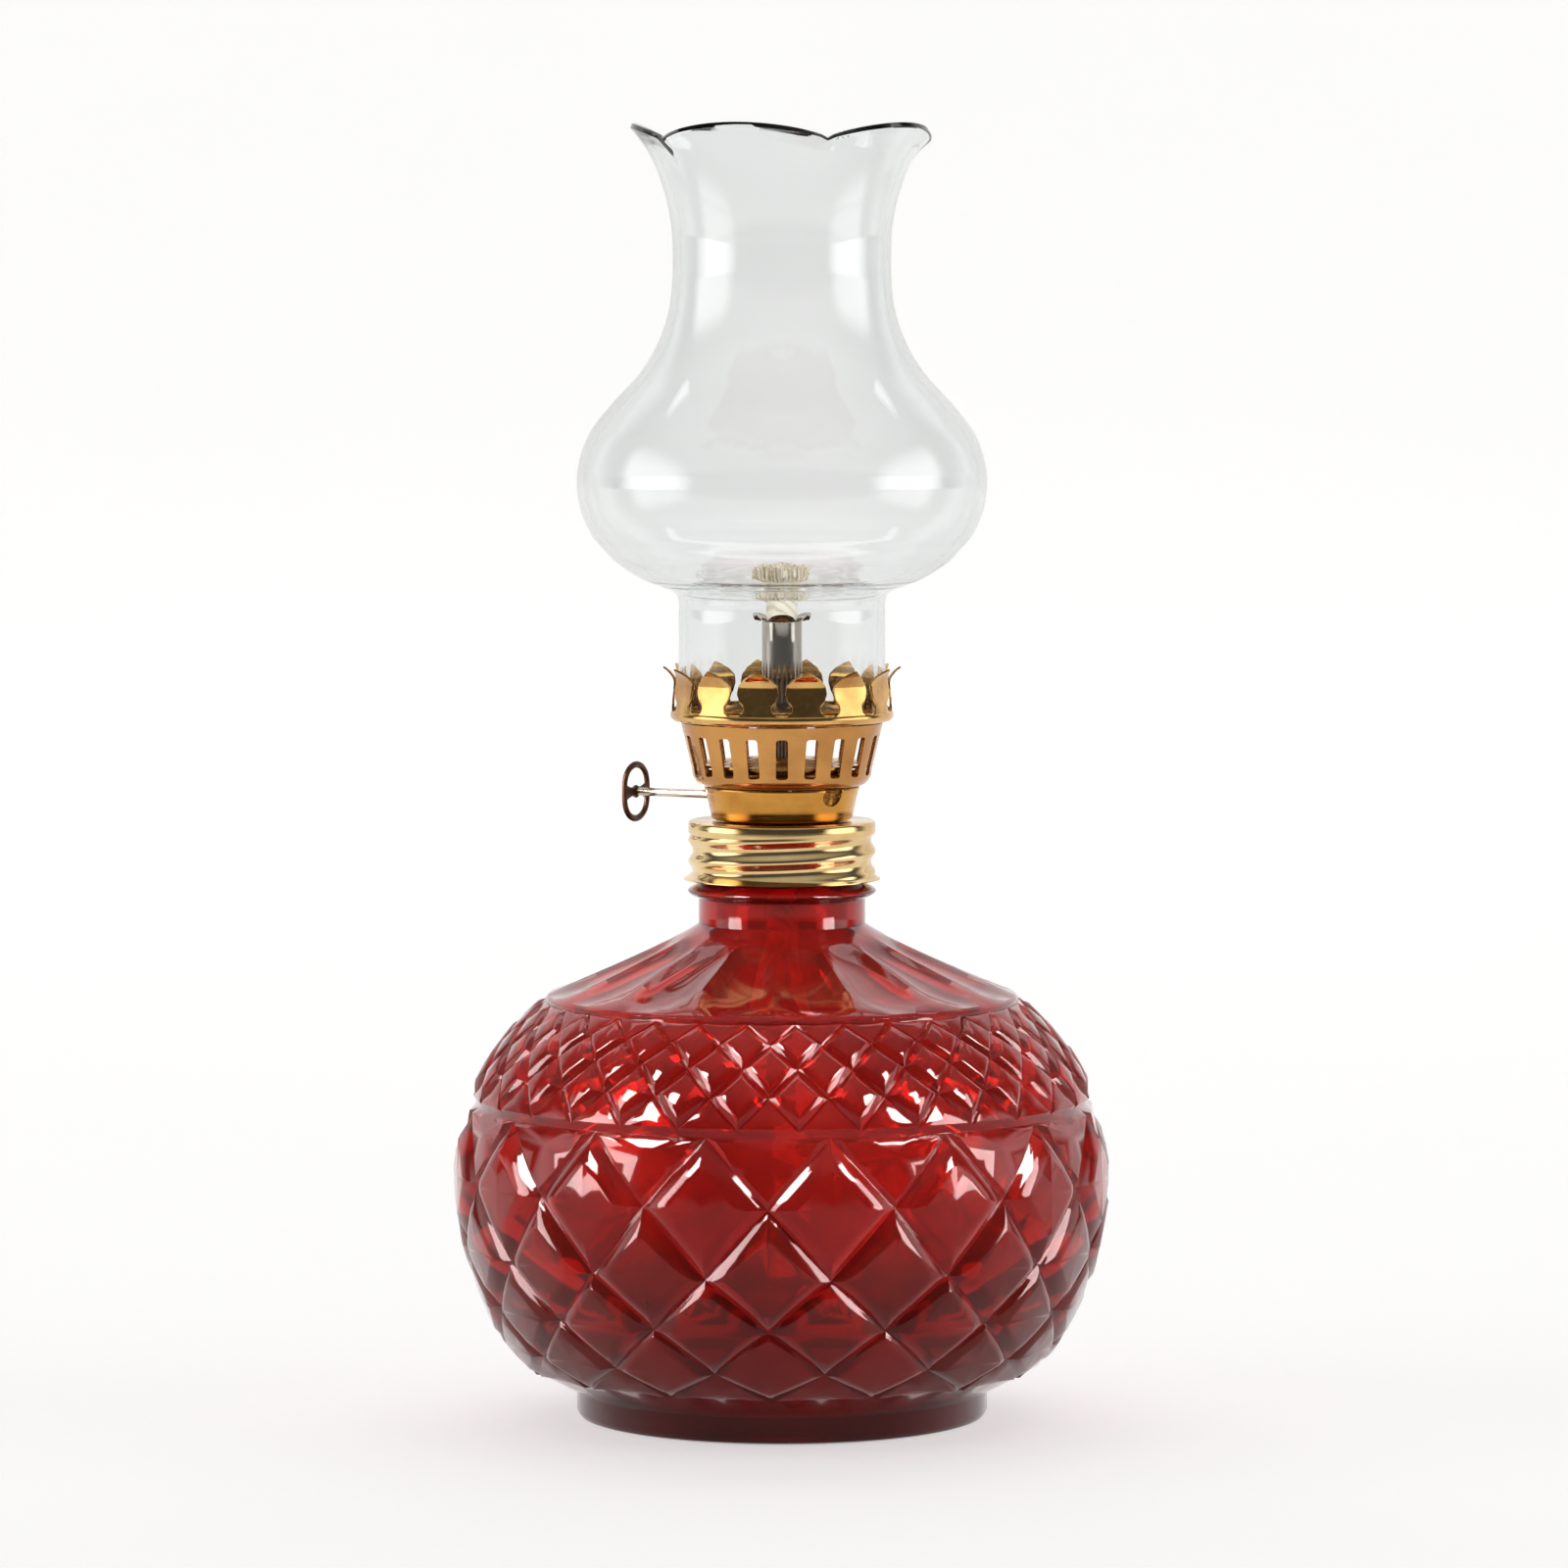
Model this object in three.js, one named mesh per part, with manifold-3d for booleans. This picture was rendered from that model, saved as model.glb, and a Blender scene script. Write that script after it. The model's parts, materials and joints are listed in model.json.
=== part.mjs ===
// A small table oil lamp: a pressed ruby glass font, a screw-on brass burner with a wick raiser,
// a round cotton wick and a clear glass chimney. Millimetres, +Z up, the origin is the centre of
// the foot's underside, and the front is the side at -Y.
import * as THREE from 'three';
import { mergeVertices } from 'three/addons/utils/BufferGeometryUtils.js';
import Module from 'manifold-3d';

const wasm = await Module();
wasm.setup();

// ---- driving dimensions ----

// Font
const footRadius = 40;
const footHeight = 5.5;
const footRecess = 1.6;
const footRingWidth = 7;
const fontRadius = 64;
const bellyHeight = 47.9;
const crownRise = 49.3;
const shoulderHeight = 82.5;
const neckBottom = 97.5;
const glassWall = 4;
const fontFloor = 9;
const neckWall = 3;
const neckStep = 0.7;
const beadStep = 2.8;
const beadHeight = 3;
const patternTurn = THREE.MathUtils.degToRad(-2.5);
const diamondsAround = 16;
const diamondDepth = 2.2;
const smallDiamondDepth = 1.2;
const fluteDepth = 1.3;
const neckLength = 3.1;

// Screw thread
const threadCore = 15.5;
const threadDepth = 1.5;
const threadPitch = 4.15;
const threadLength = 9.3;
const threadClearance = 0.7;

// Burner
const sheet = 0.5;
const seamGap = 0.3;
const collarFlare = 1.2;
const collarHoleRadius = 11.5;
const washerThickness = 1.6;
const cupBottomRadius = 13.7;
const cupTopRadius = 15;
const cupHeight = 6.3;
const galleryHeight = 12.2;
const slotCount = 20;
const slotWidth = 2;
const slotHeight = 7.7;
const prongCount = 14;
const prongHeight = 9.2;
const prongWidth = 7;
const prongCurl = 1.9;
const crownBead = 1.7;
const crownWallHeight = 2;
const crownFloorWidth = 2.8;
const crownOverhang = 0.8;
const sieveRise = 1.2;
const sieveLevel = 4.3;
const sieveHoleRadius = 1;

// Wick and its tube
const tubeRadius = 3.9;
const tubeTopAboveCollar = 40.2;
const tubeDepth = 8.3;
const tubeLipRadius = 5.4;
const wickClearance = 0.4;
const wickTravel = 5;
const wickHeadRadius = 4.75;
const wickHeadHeight = 10;
const tubeLipHeight = 1.6;
const tailEnd = 16;

// Wick raiser
const spindleRadius = 0.8;
const spindleRunningGap = 0.25;
const spindleTurn = THREE.MathUtils.degToRad(28);
const knobReach = 29.6;
const knobRadius = 5.9;
const knobThickness = 1;
const wheelRadius = 2.9;
const wheelTeeth = 9;
const wheelThickness = 2.2;
const threadingHoleRadius = 1.75;

// Chimney
const overallHeight = 250;
const chimneyWall = 1.5;
const fitterRadius = 20;
const fitterHeight = 22;
const bulbRadius = 39.7;
const bulbHeight = 44.5;
const waistRadius = 21.1;
const waistHeight = 83.5;
const mouthFlareRadius = 29.3;
const scallopCount = 5;
const scallopDepth = 2.6;
const scallopTurn = THREE.MathUtils.degToRad(18);
const fitterClearance = 0.4;

// ---- heights that follow from them ----

const beadBottom = neckBottom + neckLength;
const beadTop = beadBottom + beadHeight;
const threadBottom = beadTop + 0.6;
const fontTop = threadBottom + threadLength;
const washerBottom = fontTop + seamGap;
const washerTop = washerBottom + washerThickness;
const collarBottom = beadTop + 0.4;
const collarTop = washerTop + seamGap + sheet;
const cupBottom = collarTop + seamGap;
const cupTop = cupBottom + cupHeight;
const galleryBottom = cupTop + seamGap;
const galleryTop = galleryBottom + galleryHeight;
const crownBottom = galleryTop + seamGap;
const crownFloorTop = crownBottom + sheet;
const tubeBottom = collarTop - tubeDepth;
const tubeTop = collarTop + tubeTopAboveCollar;
const chimneyBottom = crownFloorTop + seamGap;
const spindleHeight = cupBottom + 4.6;

// ---- radii and offsets that fit pieces to each other ----

const threadPhaseHeight = threadBottom + 1;
const mouthRadius = threadCore - neckWall;
const neckRadius = threadCore + neckStep;
const beadRadius = threadCore + beadStep;
const tubeHoleRadius = tubeRadius + seamGap;
const tubeBore = tubeRadius - sheet;
const wickRadius = tubeBore - wickClearance;
const spindleOffset = tubeRadius + spindleRadius + seamGap;
const wheelReach = spindleOffset - wheelRadius;
const crownWallInner = fitterRadius + fitterClearance;
const crownFloorInner = crownWallInner - crownFloorWidth;
const galleryRadius = crownWallInner - crownOverhang;
const segments = 2 * diamondsAround;

// ---- tools ----

const group = new THREE.Group();

const finishes = {
  rubyGlass: { color: 0x8f1512, roughness: 0.08, metalness: 0 },
  clearGlass: { color: 0xe7e8ea, roughness: 0.03, metalness: 0, transparent: true, opacity: 0.35 },
  yellowBrass: { color: 0xcbb277, roughness: 0.25, metalness: 1 },
  goldBrass: { color: 0xc08a3e, roughness: 0.3, metalness: 1 },
  bronze: { color: 0x5d4030, roughness: 0.45, metalness: 1 },
  steel: { color: 0xb4b0aa, roughness: 0.2, metalness: 1 },
  cotton: { color: 0xe6dcc8, roughness: 0.95, metalness: 0 },
  cork: { color: 0xa67c52, roughness: 0.9, metalness: 0 },
};

function addPart(name, geometry, finish) {
  const mesh = new THREE.Mesh(geometry, new THREE.MeshStandardMaterial(finish));
  mesh.name = name;
  group.add(mesh);
}

// Turns a profile of [radius, height] pairs about the Z axis. The angle 0 is the front.
function turned(profile, count = segments) {
  const points = profile.map(([radius, height]) => new THREE.Vector2(radius, height));
  const geometry = new THREE.LatheGeometry(points, count);
  geometry.rotateX(Math.PI / 2);
  return geometry;
}

function solidOf(geometry) {
  const bare = geometry.clone();
  bare.deleteAttribute('normal');
  bare.deleteAttribute('uv');
  const merged = mergeVertices(bare, 1e-4);
  const corners = merged.index.array;
  const kept = [];
  for (let i = 0; i < corners.length; i += 3) {
    const [a, b, c] = [corners[i], corners[i + 1], corners[i + 2]];
    if (a !== b && b !== c && c !== a) kept.push(a, b, c);
  }
  const mesh = new wasm.Mesh({
    numProp: 3,
    vertProperties: new Float32Array(merged.attributes.position.array),
    triVerts: new Uint32Array(kept),
  });
  return new wasm.Manifold(mesh);
}

function geometryOf(solid) {
  const mesh = solid.getMesh();
  const geometry = new THREE.BufferGeometry();
  geometry.setAttribute('position', new THREE.BufferAttribute(new Float32Array(mesh.vertProperties), 3));
  geometry.setIndex(new THREE.BufferAttribute(new Uint32Array(mesh.triVerts), 1));
  return geometry;
}

function cutFrom(geometry, tools) {
  let solid = solidOf(geometry);
  for (const tool of tools) solid = solid.subtract(solidOf(tool));
  return geometryOf(solid);
}

// Moves each vertex of a turned geometry in or out: change(angle, height, radius) gives its new radius.
function reshaped(geometry, change) {
  const position = geometry.attributes.position;
  for (let i = 0; i < position.count; i += 1) {
    const [x, y, z] = [position.getX(i), position.getY(i), position.getZ(i)];
    const radius = Math.hypot(x, y);
    if (radius < 1e-6) continue;
    const scale = change(Math.atan2(x, -y), z, radius) / radius;
    position.setXY(i, x * scale, y * scale);
  }
  return geometry;
}

// A rod along X from start to end, turned so that it lies on the spindle's line.
function alongSpindle(radius, start, end, sides = 12) {
  const rod = new THREE.CylinderGeometry(radius, radius, end - start, sides);
  rod.rotateZ(Math.PI / 2);
  rod.translate((start + end) / 2, 0, 0);
  return ontoSpindle(rod);
}

// Local X runs out to the knob, local Y leans away from the lamp's axis, local Z is up.
function ontoSpindle(geometry) {
  geometry.translate(0, spindleOffset, 0);
  geometry.rotateZ(Math.PI - spindleTurn);
  geometry.translate(0, 0, spindleHeight);
  return geometry;
}

function steps(from, to, count) {
  return Array.from({ length: count + 1 }, (_, i) => from + ((to - from) * i) / count);
}

// ---- font ----

// The crests' outline: a full lower bowl, then an elliptical crown up to the shoulder.
function fontCrest(height) {
  if (height > bellyHeight) {
    return fontRadius * Math.sqrt(1 - ((height - bellyHeight) / crownRise) ** 2);
  }
  const depth = (bellyHeight - height) / (bellyHeight - footHeight);
  const footTop = footRadius + 1;
  return footTop + (fontRadius - footTop) * (1 - depth ** 2) ** 0.6;
}

function fontInside(height) {
  const rise = height > bellyHeight ? crownRise - glassWall : bellyHeight - fontFloor;
  return (fontRadius - glassWall) * Math.sqrt(1 - ((height - bellyHeight) / rise) ** 2);
}

// How far a thread of the common pitch and lead stands out at an angle and height, from 0 to 1.
function threadWave(angle, height) {
  const turns = (height - threadPhaseHeight) / threadPitch - angle / (2 * Math.PI);
  return 0.5 + 0.5 * Math.cos(2 * Math.PI * turns);
}

// A shoulder that falls from the neck as an S, as [radius, height] pairs.
function shoulderCurve(low, middle, high, count) {
  const curve = new THREE.QuadraticBezierCurve(
    new THREE.Vector2(...low),
    new THREE.Vector2(...middle),
    new THREE.Vector2(...high),
  );
  return curve.getPoints(count).map((point) => [point.x, point.y]);
}

function fontGeometry() {
  const rowHeights = [0.22, 0.32, 0.5, 0.715, 1].map((share) => share * bellyHeight);
  const largeTop = bellyHeight + 13.2;
  rowHeights.push(largeTop);
  const smallRows = steps(largeTop, shoulderHeight, 3).slice(1, -1);
  const shoulder = shoulderCurve(
    [fontCrest(shoulderHeight), shoulderHeight],
    [neckRadius + 5.8, neckBottom - 4.5],
    [neckRadius, neckBottom],
    5,
  );
  const innerShoulder = shoulderCurve(
    [mouthRadius, neckBottom - 3.5],
    [mouthRadius + 5.5, neckBottom - 8],
    [fontInside(shoulderHeight), shoulderHeight],
    3,
  );
  const threadRows = steps(threadBottom, fontTop, 10);
  const profile = [
    [0, footRecess],
    [footRadius - footRingWidth - 2, footRecess],
    [footRadius - footRingWidth, 0],
    [footRadius - 1.2, 0],
    [footRadius, 1.2],
    [footRadius, footHeight],
    ...rowHeights.map((height) => [fontCrest(height), height]),
    ...smallRows.map((height) => [fontCrest(height) - smallDiamondDepth / 2, height]),
    ...shoulder,
    [neckRadius, beadBottom],
    [beadRadius, beadBottom + beadHeight * 0.3],
    [beadRadius, beadBottom + beadHeight * 0.75],
    [threadCore + 1, beadTop],
    ...threadRows.map((height) => [threadCore, height]),
    [mouthRadius, fontTop],
    ...innerShoulder,
    ...steps(bellyHeight + crownRise / 3, bellyHeight, 1).map((height) => [fontInside(height), height]),
    ...[0.3, 0.65, 0.92].map((share) => {
      const height = bellyHeight - share * (bellyHeight - fontFloor);
      return [fontInside(height), height];
    }),
    [0, fontFloor],
  ];
  const geometry = turned(profile);
  const rowOf = new Map(rowHeights.map((height, row) => [height.toFixed(3), row]));
  const shoulderRows = new Set(shoulder.slice(1, -1).map(([, height]) => height.toFixed(3)));
  reshaped(geometry, (angle, height, radius) => {
    const spoke = Math.round((angle / (2 * Math.PI)) * segments + segments);
    const key = height.toFixed(3);
    const outside = radius > fontInside(Math.min(height, shoulderHeight)) + 0.5;
    if (rowOf.has(key) && outside) {
      const groove = (spoke + rowOf.get(key)) % 2 === 0;
      return groove ? radius - diamondDepth : radius;
    }
    if (shoulderRows.has(key) && spoke % 2 === 1) return radius - fluteDepth;
    if (height > threadBottom + 0.01 && height < fontTop - 0.01 && radius > mouthRadius + 1) {
      return radius + threadDepth * threadWave(angle + patternTurn, height);
    }
    return radius;
  });
  turnDiagonals(geometry, profile.length, rowHeights.length);
  geometry.rotateZ(patternTurn);
  return geometry;
}

// Turns the quads' diagonals onto the grooves between the large diamonds.
function turnDiagonals(geometry, rows, patternRows) {
  const firstRow = 6;
  const index = geometry.index.array;
  for (let i = 0; i < index.length; i += 6) {
    const quad = i / 6;
    const spoke = Math.floor(quad / (rows - 1));
    const row = (quad % (rows - 1)) - firstRow;
    if (row < 0 || row >= patternRows - 1 || (spoke + row) % 2 === 1) continue;
    const [a, b, c, d] = [index[i], index[i + 1], index[i + 3], index[i + 2]];
    index.set([a, b, c, a, c, d], i);
  }
}

// ---- burner ----

function washerGeometry() {
  return turned([
    [mouthRadius + 0.1, washerBottom],
    [threadCore + 0.1, washerBottom],
    [threadCore + 0.1, washerTop],
    [mouthRadius + 0.1, washerTop],
    [mouthRadius + 0.1, washerBottom],
  ]);
}

function collarGeometry() {
  const inner = threadCore + threadClearance;
  const plateBottom = collarTop - sheet;
  const lastWave = plateBottom - 0.9;
  const waveRows = steps(collarBottom, lastWave, 12);
  const top = inner + threadDepth + sheet;
  const profile = [
    ...waveRows.map((height) => [inner + sheet, height]),
    [top, collarTop - 0.7],
    [top - 0.5, collarTop],
    [collarHoleRadius, collarTop],
    [collarHoleRadius, plateBottom],
    [top - sheet - 0.3, plateBottom],
    ...[...waveRows].reverse().map((height) => [inner, height]),
    [inner + sheet, collarBottom],
  ];
  return reshaped(turned(profile), (angle, height, radius) => {
    if (height > lastWave + 0.01 || radius < inner - 0.01) return radius;
    const flare = Math.max(0, 1 - (height - collarBottom) / 1.6);
    const wave = threadDepth * threadWave(angle, height);
    return radius + Math.max(wave, flare * (threadDepth + collarFlare));
  });
}

function cupGeometry() {
  const cup = turned([
    [tubeHoleRadius, cupBottom],
    [cupBottomRadius - 0.5, cupBottom],
    [cupBottomRadius, cupBottom + 0.5],
    [cupTopRadius, cupTop],
    [cupTopRadius - sheet, cupTop],
    [cupBottomRadius - sheet, cupBottom + sheet],
    [tubeHoleRadius, cupBottom + sheet],
    [tubeHoleRadius, cupBottom],
  ]);
  return cutFrom(cup, [
    alongSpindle(spindleRadius + spindleRunningGap, 6, cupTopRadius + 3),
    alongSpindle(threadingHoleRadius, -cupTopRadius - 3, -6),
  ]);
}

// The gallery's outer radius rises steeply over a rounded shoulder, then flares evenly.
function galleryOuter(height) {
  const rise = (height - galleryBottom) / galleryHeight;
  const shoulder = galleryRadius - 2.1;
  const bend = 0.28;
  if (rise > bend) return shoulder + ((galleryRadius - shoulder) * (rise - bend)) / (1 - bend);
  const lip = cupTopRadius + 0.1;
  return lip + (shoulder - lip) * Math.sqrt(1 - (1 - rise / bend) ** 2);
}

function slotTool(angle, centreHeight, reach) {
  const shape = new THREE.Shape();
  const half = slotHeight / 2 - slotWidth / 2;
  shape.moveTo(slotWidth / 2, -half);
  shape.lineTo(slotWidth / 2, half);
  shape.absarc(0, half, slotWidth / 2, 0, Math.PI, false);
  shape.lineTo(-slotWidth / 2, -half);
  shape.absarc(0, -half, slotWidth / 2, Math.PI, 2 * Math.PI, false);
  const tool = new THREE.ExtrudeGeometry(shape, { depth: reach, bevelEnabled: false, curveSegments: 2 });
  tool.rotateX(Math.PI / 2);
  tool.rotateZ(angle);
  tool.translate(0, 0, centreHeight);
  return tool;
}

function galleryGeometry() {
  const heights = [0, 0.05, 0.14, 0.28, 1].map((share) => galleryBottom + share * galleryHeight);
  const outer = heights.map((height) => [galleryOuter(height), height]);
  const inner = heights.map((height) => [galleryOuter(height) - sheet, height]).reverse();
  const shell = turned([...outer, ...inner, outer[0]], 2 * slotCount);
  const slotCentre = galleryTop - 2.3 - slotHeight / 2;
  const tools = Array.from({ length: slotCount }, (_, i) => {
    return slotTool((2 * Math.PI * i) / slotCount, slotCentre, galleryRadius + 2);
  });
  return cutFrom(shell, tools);
}

function sieveGeometry() {
  const rimHeight = galleryBottom + sieveLevel;
  const rimRadius = galleryOuter(rimHeight) - sheet - 2 * seamGap;
  const topHeight = rimHeight + sieveRise;
  const cone = turned([
    [tubeHoleRadius, topHeight - sheet],
    [tubeHoleRadius + 1, topHeight - sheet],
    [rimRadius - 1, rimHeight - sheet],
    [rimRadius, rimHeight - sheet],
    [rimRadius, rimHeight],
    [rimRadius - 0.8, rimHeight],
    [tubeHoleRadius + 1.2, topHeight],
    [tubeHoleRadius, topHeight],
    [tubeHoleRadius, topHeight - sheet],
  ]);
  const tools = [];
  for (const [share, count] of [[0.38, 7], [0.76, 11]]) {
    const ring = tubeHoleRadius + share * (rimRadius - tubeHoleRadius);
    for (let i = 0; i < count; i += 1) {
      const drill = new THREE.CylinderGeometry(sieveHoleRadius, sieveHoleRadius, 4 * sieveRise + 2, 6);
      drill.rotateX(Math.PI / 2);
      drill.translate(0, -ring, rimHeight);
      drill.rotateZ((2 * Math.PI * i) / count);
      tools.push(drill);
    }
  }
  return cutFrom(cone, tools);
}

// One tulip-shaped prong, flat in its plane and curled out towards its tip.
function prongGeometry(angle, wallHeight) {
  const half = prongWidth / 2;
  const shape = new THREE.Shape();
  shape.moveTo(-half * 0.75, 0);
  shape.lineTo(half * 0.75, 0);
  shape.quadraticCurveTo(half * 0.45, prongHeight * 0.12, half * 0.5, prongHeight * 0.24);
  shape.quadraticCurveTo(half * 1.05, prongHeight * 0.36, half, prongHeight * 0.62);
  shape.quadraticCurveTo(half * 0.7, prongHeight * 0.86, 0, prongHeight);
  shape.quadraticCurveTo(-half * 0.7, prongHeight * 0.86, -half, prongHeight * 0.62);
  shape.quadraticCurveTo(-half * 1.05, prongHeight * 0.36, -half * 0.5, prongHeight * 0.24);
  shape.quadraticCurveTo(-half * 0.45, prongHeight * 0.12, -half * 0.75, 0);
  const prong = new THREE.ExtrudeGeometry(shape, { depth: sheet, bevelEnabled: false, curveSegments: 2 });
  prong.rotateX(Math.PI / 2);
  const position = prong.attributes.position;
  for (let i = 0; i < position.count; i += 1) {
    const rise = Math.max(0, position.getZ(i) / prongHeight - 0.3) / 0.7;
    position.setY(i, position.getY(i) - crownWallInner - 0.05 - prongCurl * rise ** 2);
  }
  prong.rotateZ(angle);
  prong.translate(0, 0, wallHeight);
  return prong;
}

function crownGeometry() {
  const wallTop = crownFloorTop + crownWallHeight;
  const outer = crownWallInner + sheet;
  const beadOut = crownWallInner + crownBead - 0.4;
  const ring = turned([
    [crownFloorInner, crownBottom],
    [crownWallInner, crownBottom],
    [beadOut - 0.3, crownBottom + 0.4],
    [beadOut, crownBottom + 1.3],
    [beadOut - 0.3, crownBottom + 2.1],
    [outer, wallTop],
    [crownWallInner, wallTop],
    [crownWallInner, crownFloorTop],
    [crownFloorInner, crownFloorTop],
    [crownFloorInner, crownBottom],
  ], 2 * prongCount);
  let solid = solidOf(ring);
  for (let i = 0; i < prongCount; i += 1) {
    const angle = (2 * Math.PI * (i + 0.5)) / prongCount;
    solid = solid.add(solidOf(prongGeometry(angle, wallTop - 1)));
  }
  return geometryOf(solid);
}

// ---- wick, its tube and the raiser ----

function tubeGeometry() {
  const lip = tubeTop - tubeLipHeight;
  const tube = turned([
    [tubeRadius, tubeBottom],
    [tubeRadius, lip],
    [tubeLipRadius, tubeTop],
    [tubeLipRadius - sheet, tubeTop],
    [tubeBore, lip],
    [tubeBore, tubeBottom],
    [tubeRadius, tubeBottom],
  ], 24);
  const half = wheelRadius + 2 * seamGap;
  const slot = new THREE.BoxGeometry(wheelThickness + 4 * seamGap, tubeRadius, 2 * half);
  slot.translate(0, tubeRadius / 2 + wheelReach - seamGap - spindleOffset, 0);
  return cutFrom(tube, [ontoSpindle(slot)]);
}

function wickGeometry() {
  const slim = tubeTop + wickTravel;
  const headTop = tubeTop + wickHeadHeight;
  const wick = turned([
    [0, tubeBottom],
    [wickRadius, tubeBottom],
    [wickRadius, slim],
    [wickHeadRadius * 0.92, headTop - 2.4],
    [wickHeadRadius, headTop - 0.8],
    [wickHeadRadius * 0.6, headTop],
    [0, headTop + 0.6],
  ], 16);
  const half = wickTravel + wheelRadius + 1;
  const flat = new THREE.BoxGeometry(wheelThickness + 1, 2 * wickRadius, 2 * half);
  flat.translate(0, wickRadius + wheelReach - seamGap - spindleOffset, 0);
  return cutFrom(wick, [ontoSpindle(flat)]);
}

// The tail hangs almost straight, with the slight bends of a wick that was coiled in its packet.
const tailRoute = [
  [0, 0, 107.7], [0, 0, 102], [0.1, 0, 96], [0.3, 0.1, 90], [0.7, 0.2, 84], [1.1, 0.3, 78],
  [1.5, 0.3, 72], [1.8, 0.2, 66], [2.0, 0, 60], [2.0, -0.2, 54], [1.8, -0.4, 48], [1.5, -0.5, 42],
  [1.1, -0.5, 36], [0.7, -0.4, 30], [0.4, -0.3, 24], [0.2, -0.2, 20], [0.1, -0.1, tailEnd],
];

function tailGeometry() {
  const curve = new THREE.CatmullRomCurve3(tailRoute.map((point) => new THREE.Vector3(...point)));
  const section = new THREE.Shape();
  section.absarc(0, 0, wickRadius, 0, 2 * Math.PI, false);
  return new THREE.ExtrudeGeometry(section, {
    steps: 16, curveSegments: 8, bevelEnabled: false, extrudePath: curve,
  });
}

function wheelGeometry() {
  const shape = new THREE.Shape();
  for (let i = 0; i < 2 * wheelTeeth; i += 1) {
    const radius = i % 2 === 0 ? wheelRadius : wheelRadius - 0.8;
    const angle = (Math.PI * i) / wheelTeeth;
    if (i === 0) shape.moveTo(radius, 0);
    else shape.lineTo(radius * Math.cos(angle), radius * Math.sin(angle));
  }
  const bore = new THREE.Path();
  bore.absarc(0, 0, spindleRadius + seamGap, 0, 2 * Math.PI, true);
  shape.holes.push(bore);
  const wheel = new THREE.ExtrudeGeometry(shape, {
    depth: wheelThickness, bevelEnabled: false, curveSegments: 6,
  });
  wheel.translate(0, 0, -wheelThickness / 2);
  wheel.rotateY(Math.PI / 2);
  return ontoSpindle(wheel);
}

function bracketGeometry() {
  const earGap = wheelThickness / 2 + 0.6;
  const width = 2 * (earGap + sheet);
  const near = tubeRadius + seamGap - spindleOffset;
  const far = spindleRadius + 1.8;
  const bottom = cupBottom + sheet + seamGap - spindleHeight;
  const top = spindleRadius + 1.2;
  const block = new THREE.BoxGeometry(width, far - near, top - bottom);
  block.translate(0, (near + far) / 2, (top + bottom) / 2);
  const pocket = new THREE.BoxGeometry(2 * earGap, 2 * (far - near), top - bottom);
  pocket.translate(0, 0, (top + bottom) / 2 + 0.4);
  return cutFrom(ontoSpindle(block), [
    ontoSpindle(pocket),
    alongSpindle(spindleRadius + spindleRunningGap, -width, width),
  ]);
}

function spindleGeometry() {
  const inside = -(wheelThickness / 2 + 0.6 + sheet + 1.2);
  const stub = knobReach + knobThickness / 2 + 0.9;
  return alongSpindle(spindleRadius, inside, stub, 10);
}

// A stamped disc pinched at its waist, with an opening each side of the web that holds the spindle.
function knobGeometry() {
  const outline = new THREE.Shape();
  const waist = knobRadius * 0.86;
  const sides = 24;
  for (let i = 0; i < sides; i += 1) {
    const angle = (2 * Math.PI * i) / sides;
    const pinch = (knobRadius - waist) * Math.cos(angle) ** 4;
    const point = [(knobRadius - pinch) * Math.cos(angle), (knobRadius - pinch) * Math.sin(angle)];
    if (i === 0) outline.moveTo(...point);
    else outline.lineTo(...point);
  }
  const rim = 1.3;
  const web = spindleRadius + 0.7;
  const reach = knobRadius - rim;
  const half = Math.sqrt(reach ** 2 - web ** 2) * 0.82;
  for (const side of [1, -1]) {
    const opening = new THREE.Path();
    opening.moveTo(half, side * web * 1.3);
    opening.quadraticCurveTo(reach * 0.75, side * reach * 0.85, 0, side * reach);
    opening.quadraticCurveTo(-reach * 0.75, side * reach * 0.85, -half, side * web * 1.3);
    opening.quadraticCurveTo(0, side * web * 0.8, half, side * web * 1.3);
    outline.holes.push(opening);
  }
  const disc = new THREE.ExtrudeGeometry(outline, {
    depth: knobThickness, bevelEnabled: false, curveSegments: 5,
  });
  disc.translate(0, 0, -knobThickness / 2);
  disc.rotateZ(Math.PI / 2);
  disc.rotateY(Math.PI / 2);
  disc.rotateX(Math.PI / 2);
  disc.translate(knobReach, 0, 0);
  return cutFrom(ontoSpindle(disc), [alongSpindle(spindleRadius + seamGap, 0, knobReach + 5)]);
}

// ---- chimney ----

// The outer wall: a straight fitter, a round bulb, a waist, and a mouth that flares like a trumpet.
function chimneyOutline() {
  const height = overallHeight - chimneyBottom;
  const fitterTop = fitterHeight;
  const shoulder = fitterRadius + 3;
  const points = [[fitterRadius, 0], [fitterRadius, fitterTop], [shoulder, fitterTop + 3]];
  for (const share of [0.12, 0.3, 0.5, 0.75, 1]) {
    const level = fitterTop + 3 + share * (bulbHeight - fitterTop - 3);
    const rise = (bulbHeight - level) / (bulbHeight - fitterTop - 3);
    points.push([shoulder + (bulbRadius - shoulder) * Math.sqrt(1 - rise ** 2.2), level]);
  }
  for (const turn of [1, 2, 3, 4, 5, 6]) {
    const share = turn / 6;
    const swing = 0.5 + 0.5 * Math.cos(Math.PI * share ** 0.96);
    const level = bulbHeight + (waistHeight - bulbHeight) * share;
    points.push([waistRadius + (bulbRadius - waistRadius) * swing, level]);
  }
  for (const share of [0.3, 0.6, 0.8, 0.92, 1]) {
    const flare = (mouthFlareRadius - waistRadius) * share ** 3.4;
    points.push([waistRadius + flare, waistHeight + (height - waistHeight) * share]);
  }
  return points.map(([radius, level]) => [radius, level + chimneyBottom]);
}

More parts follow.
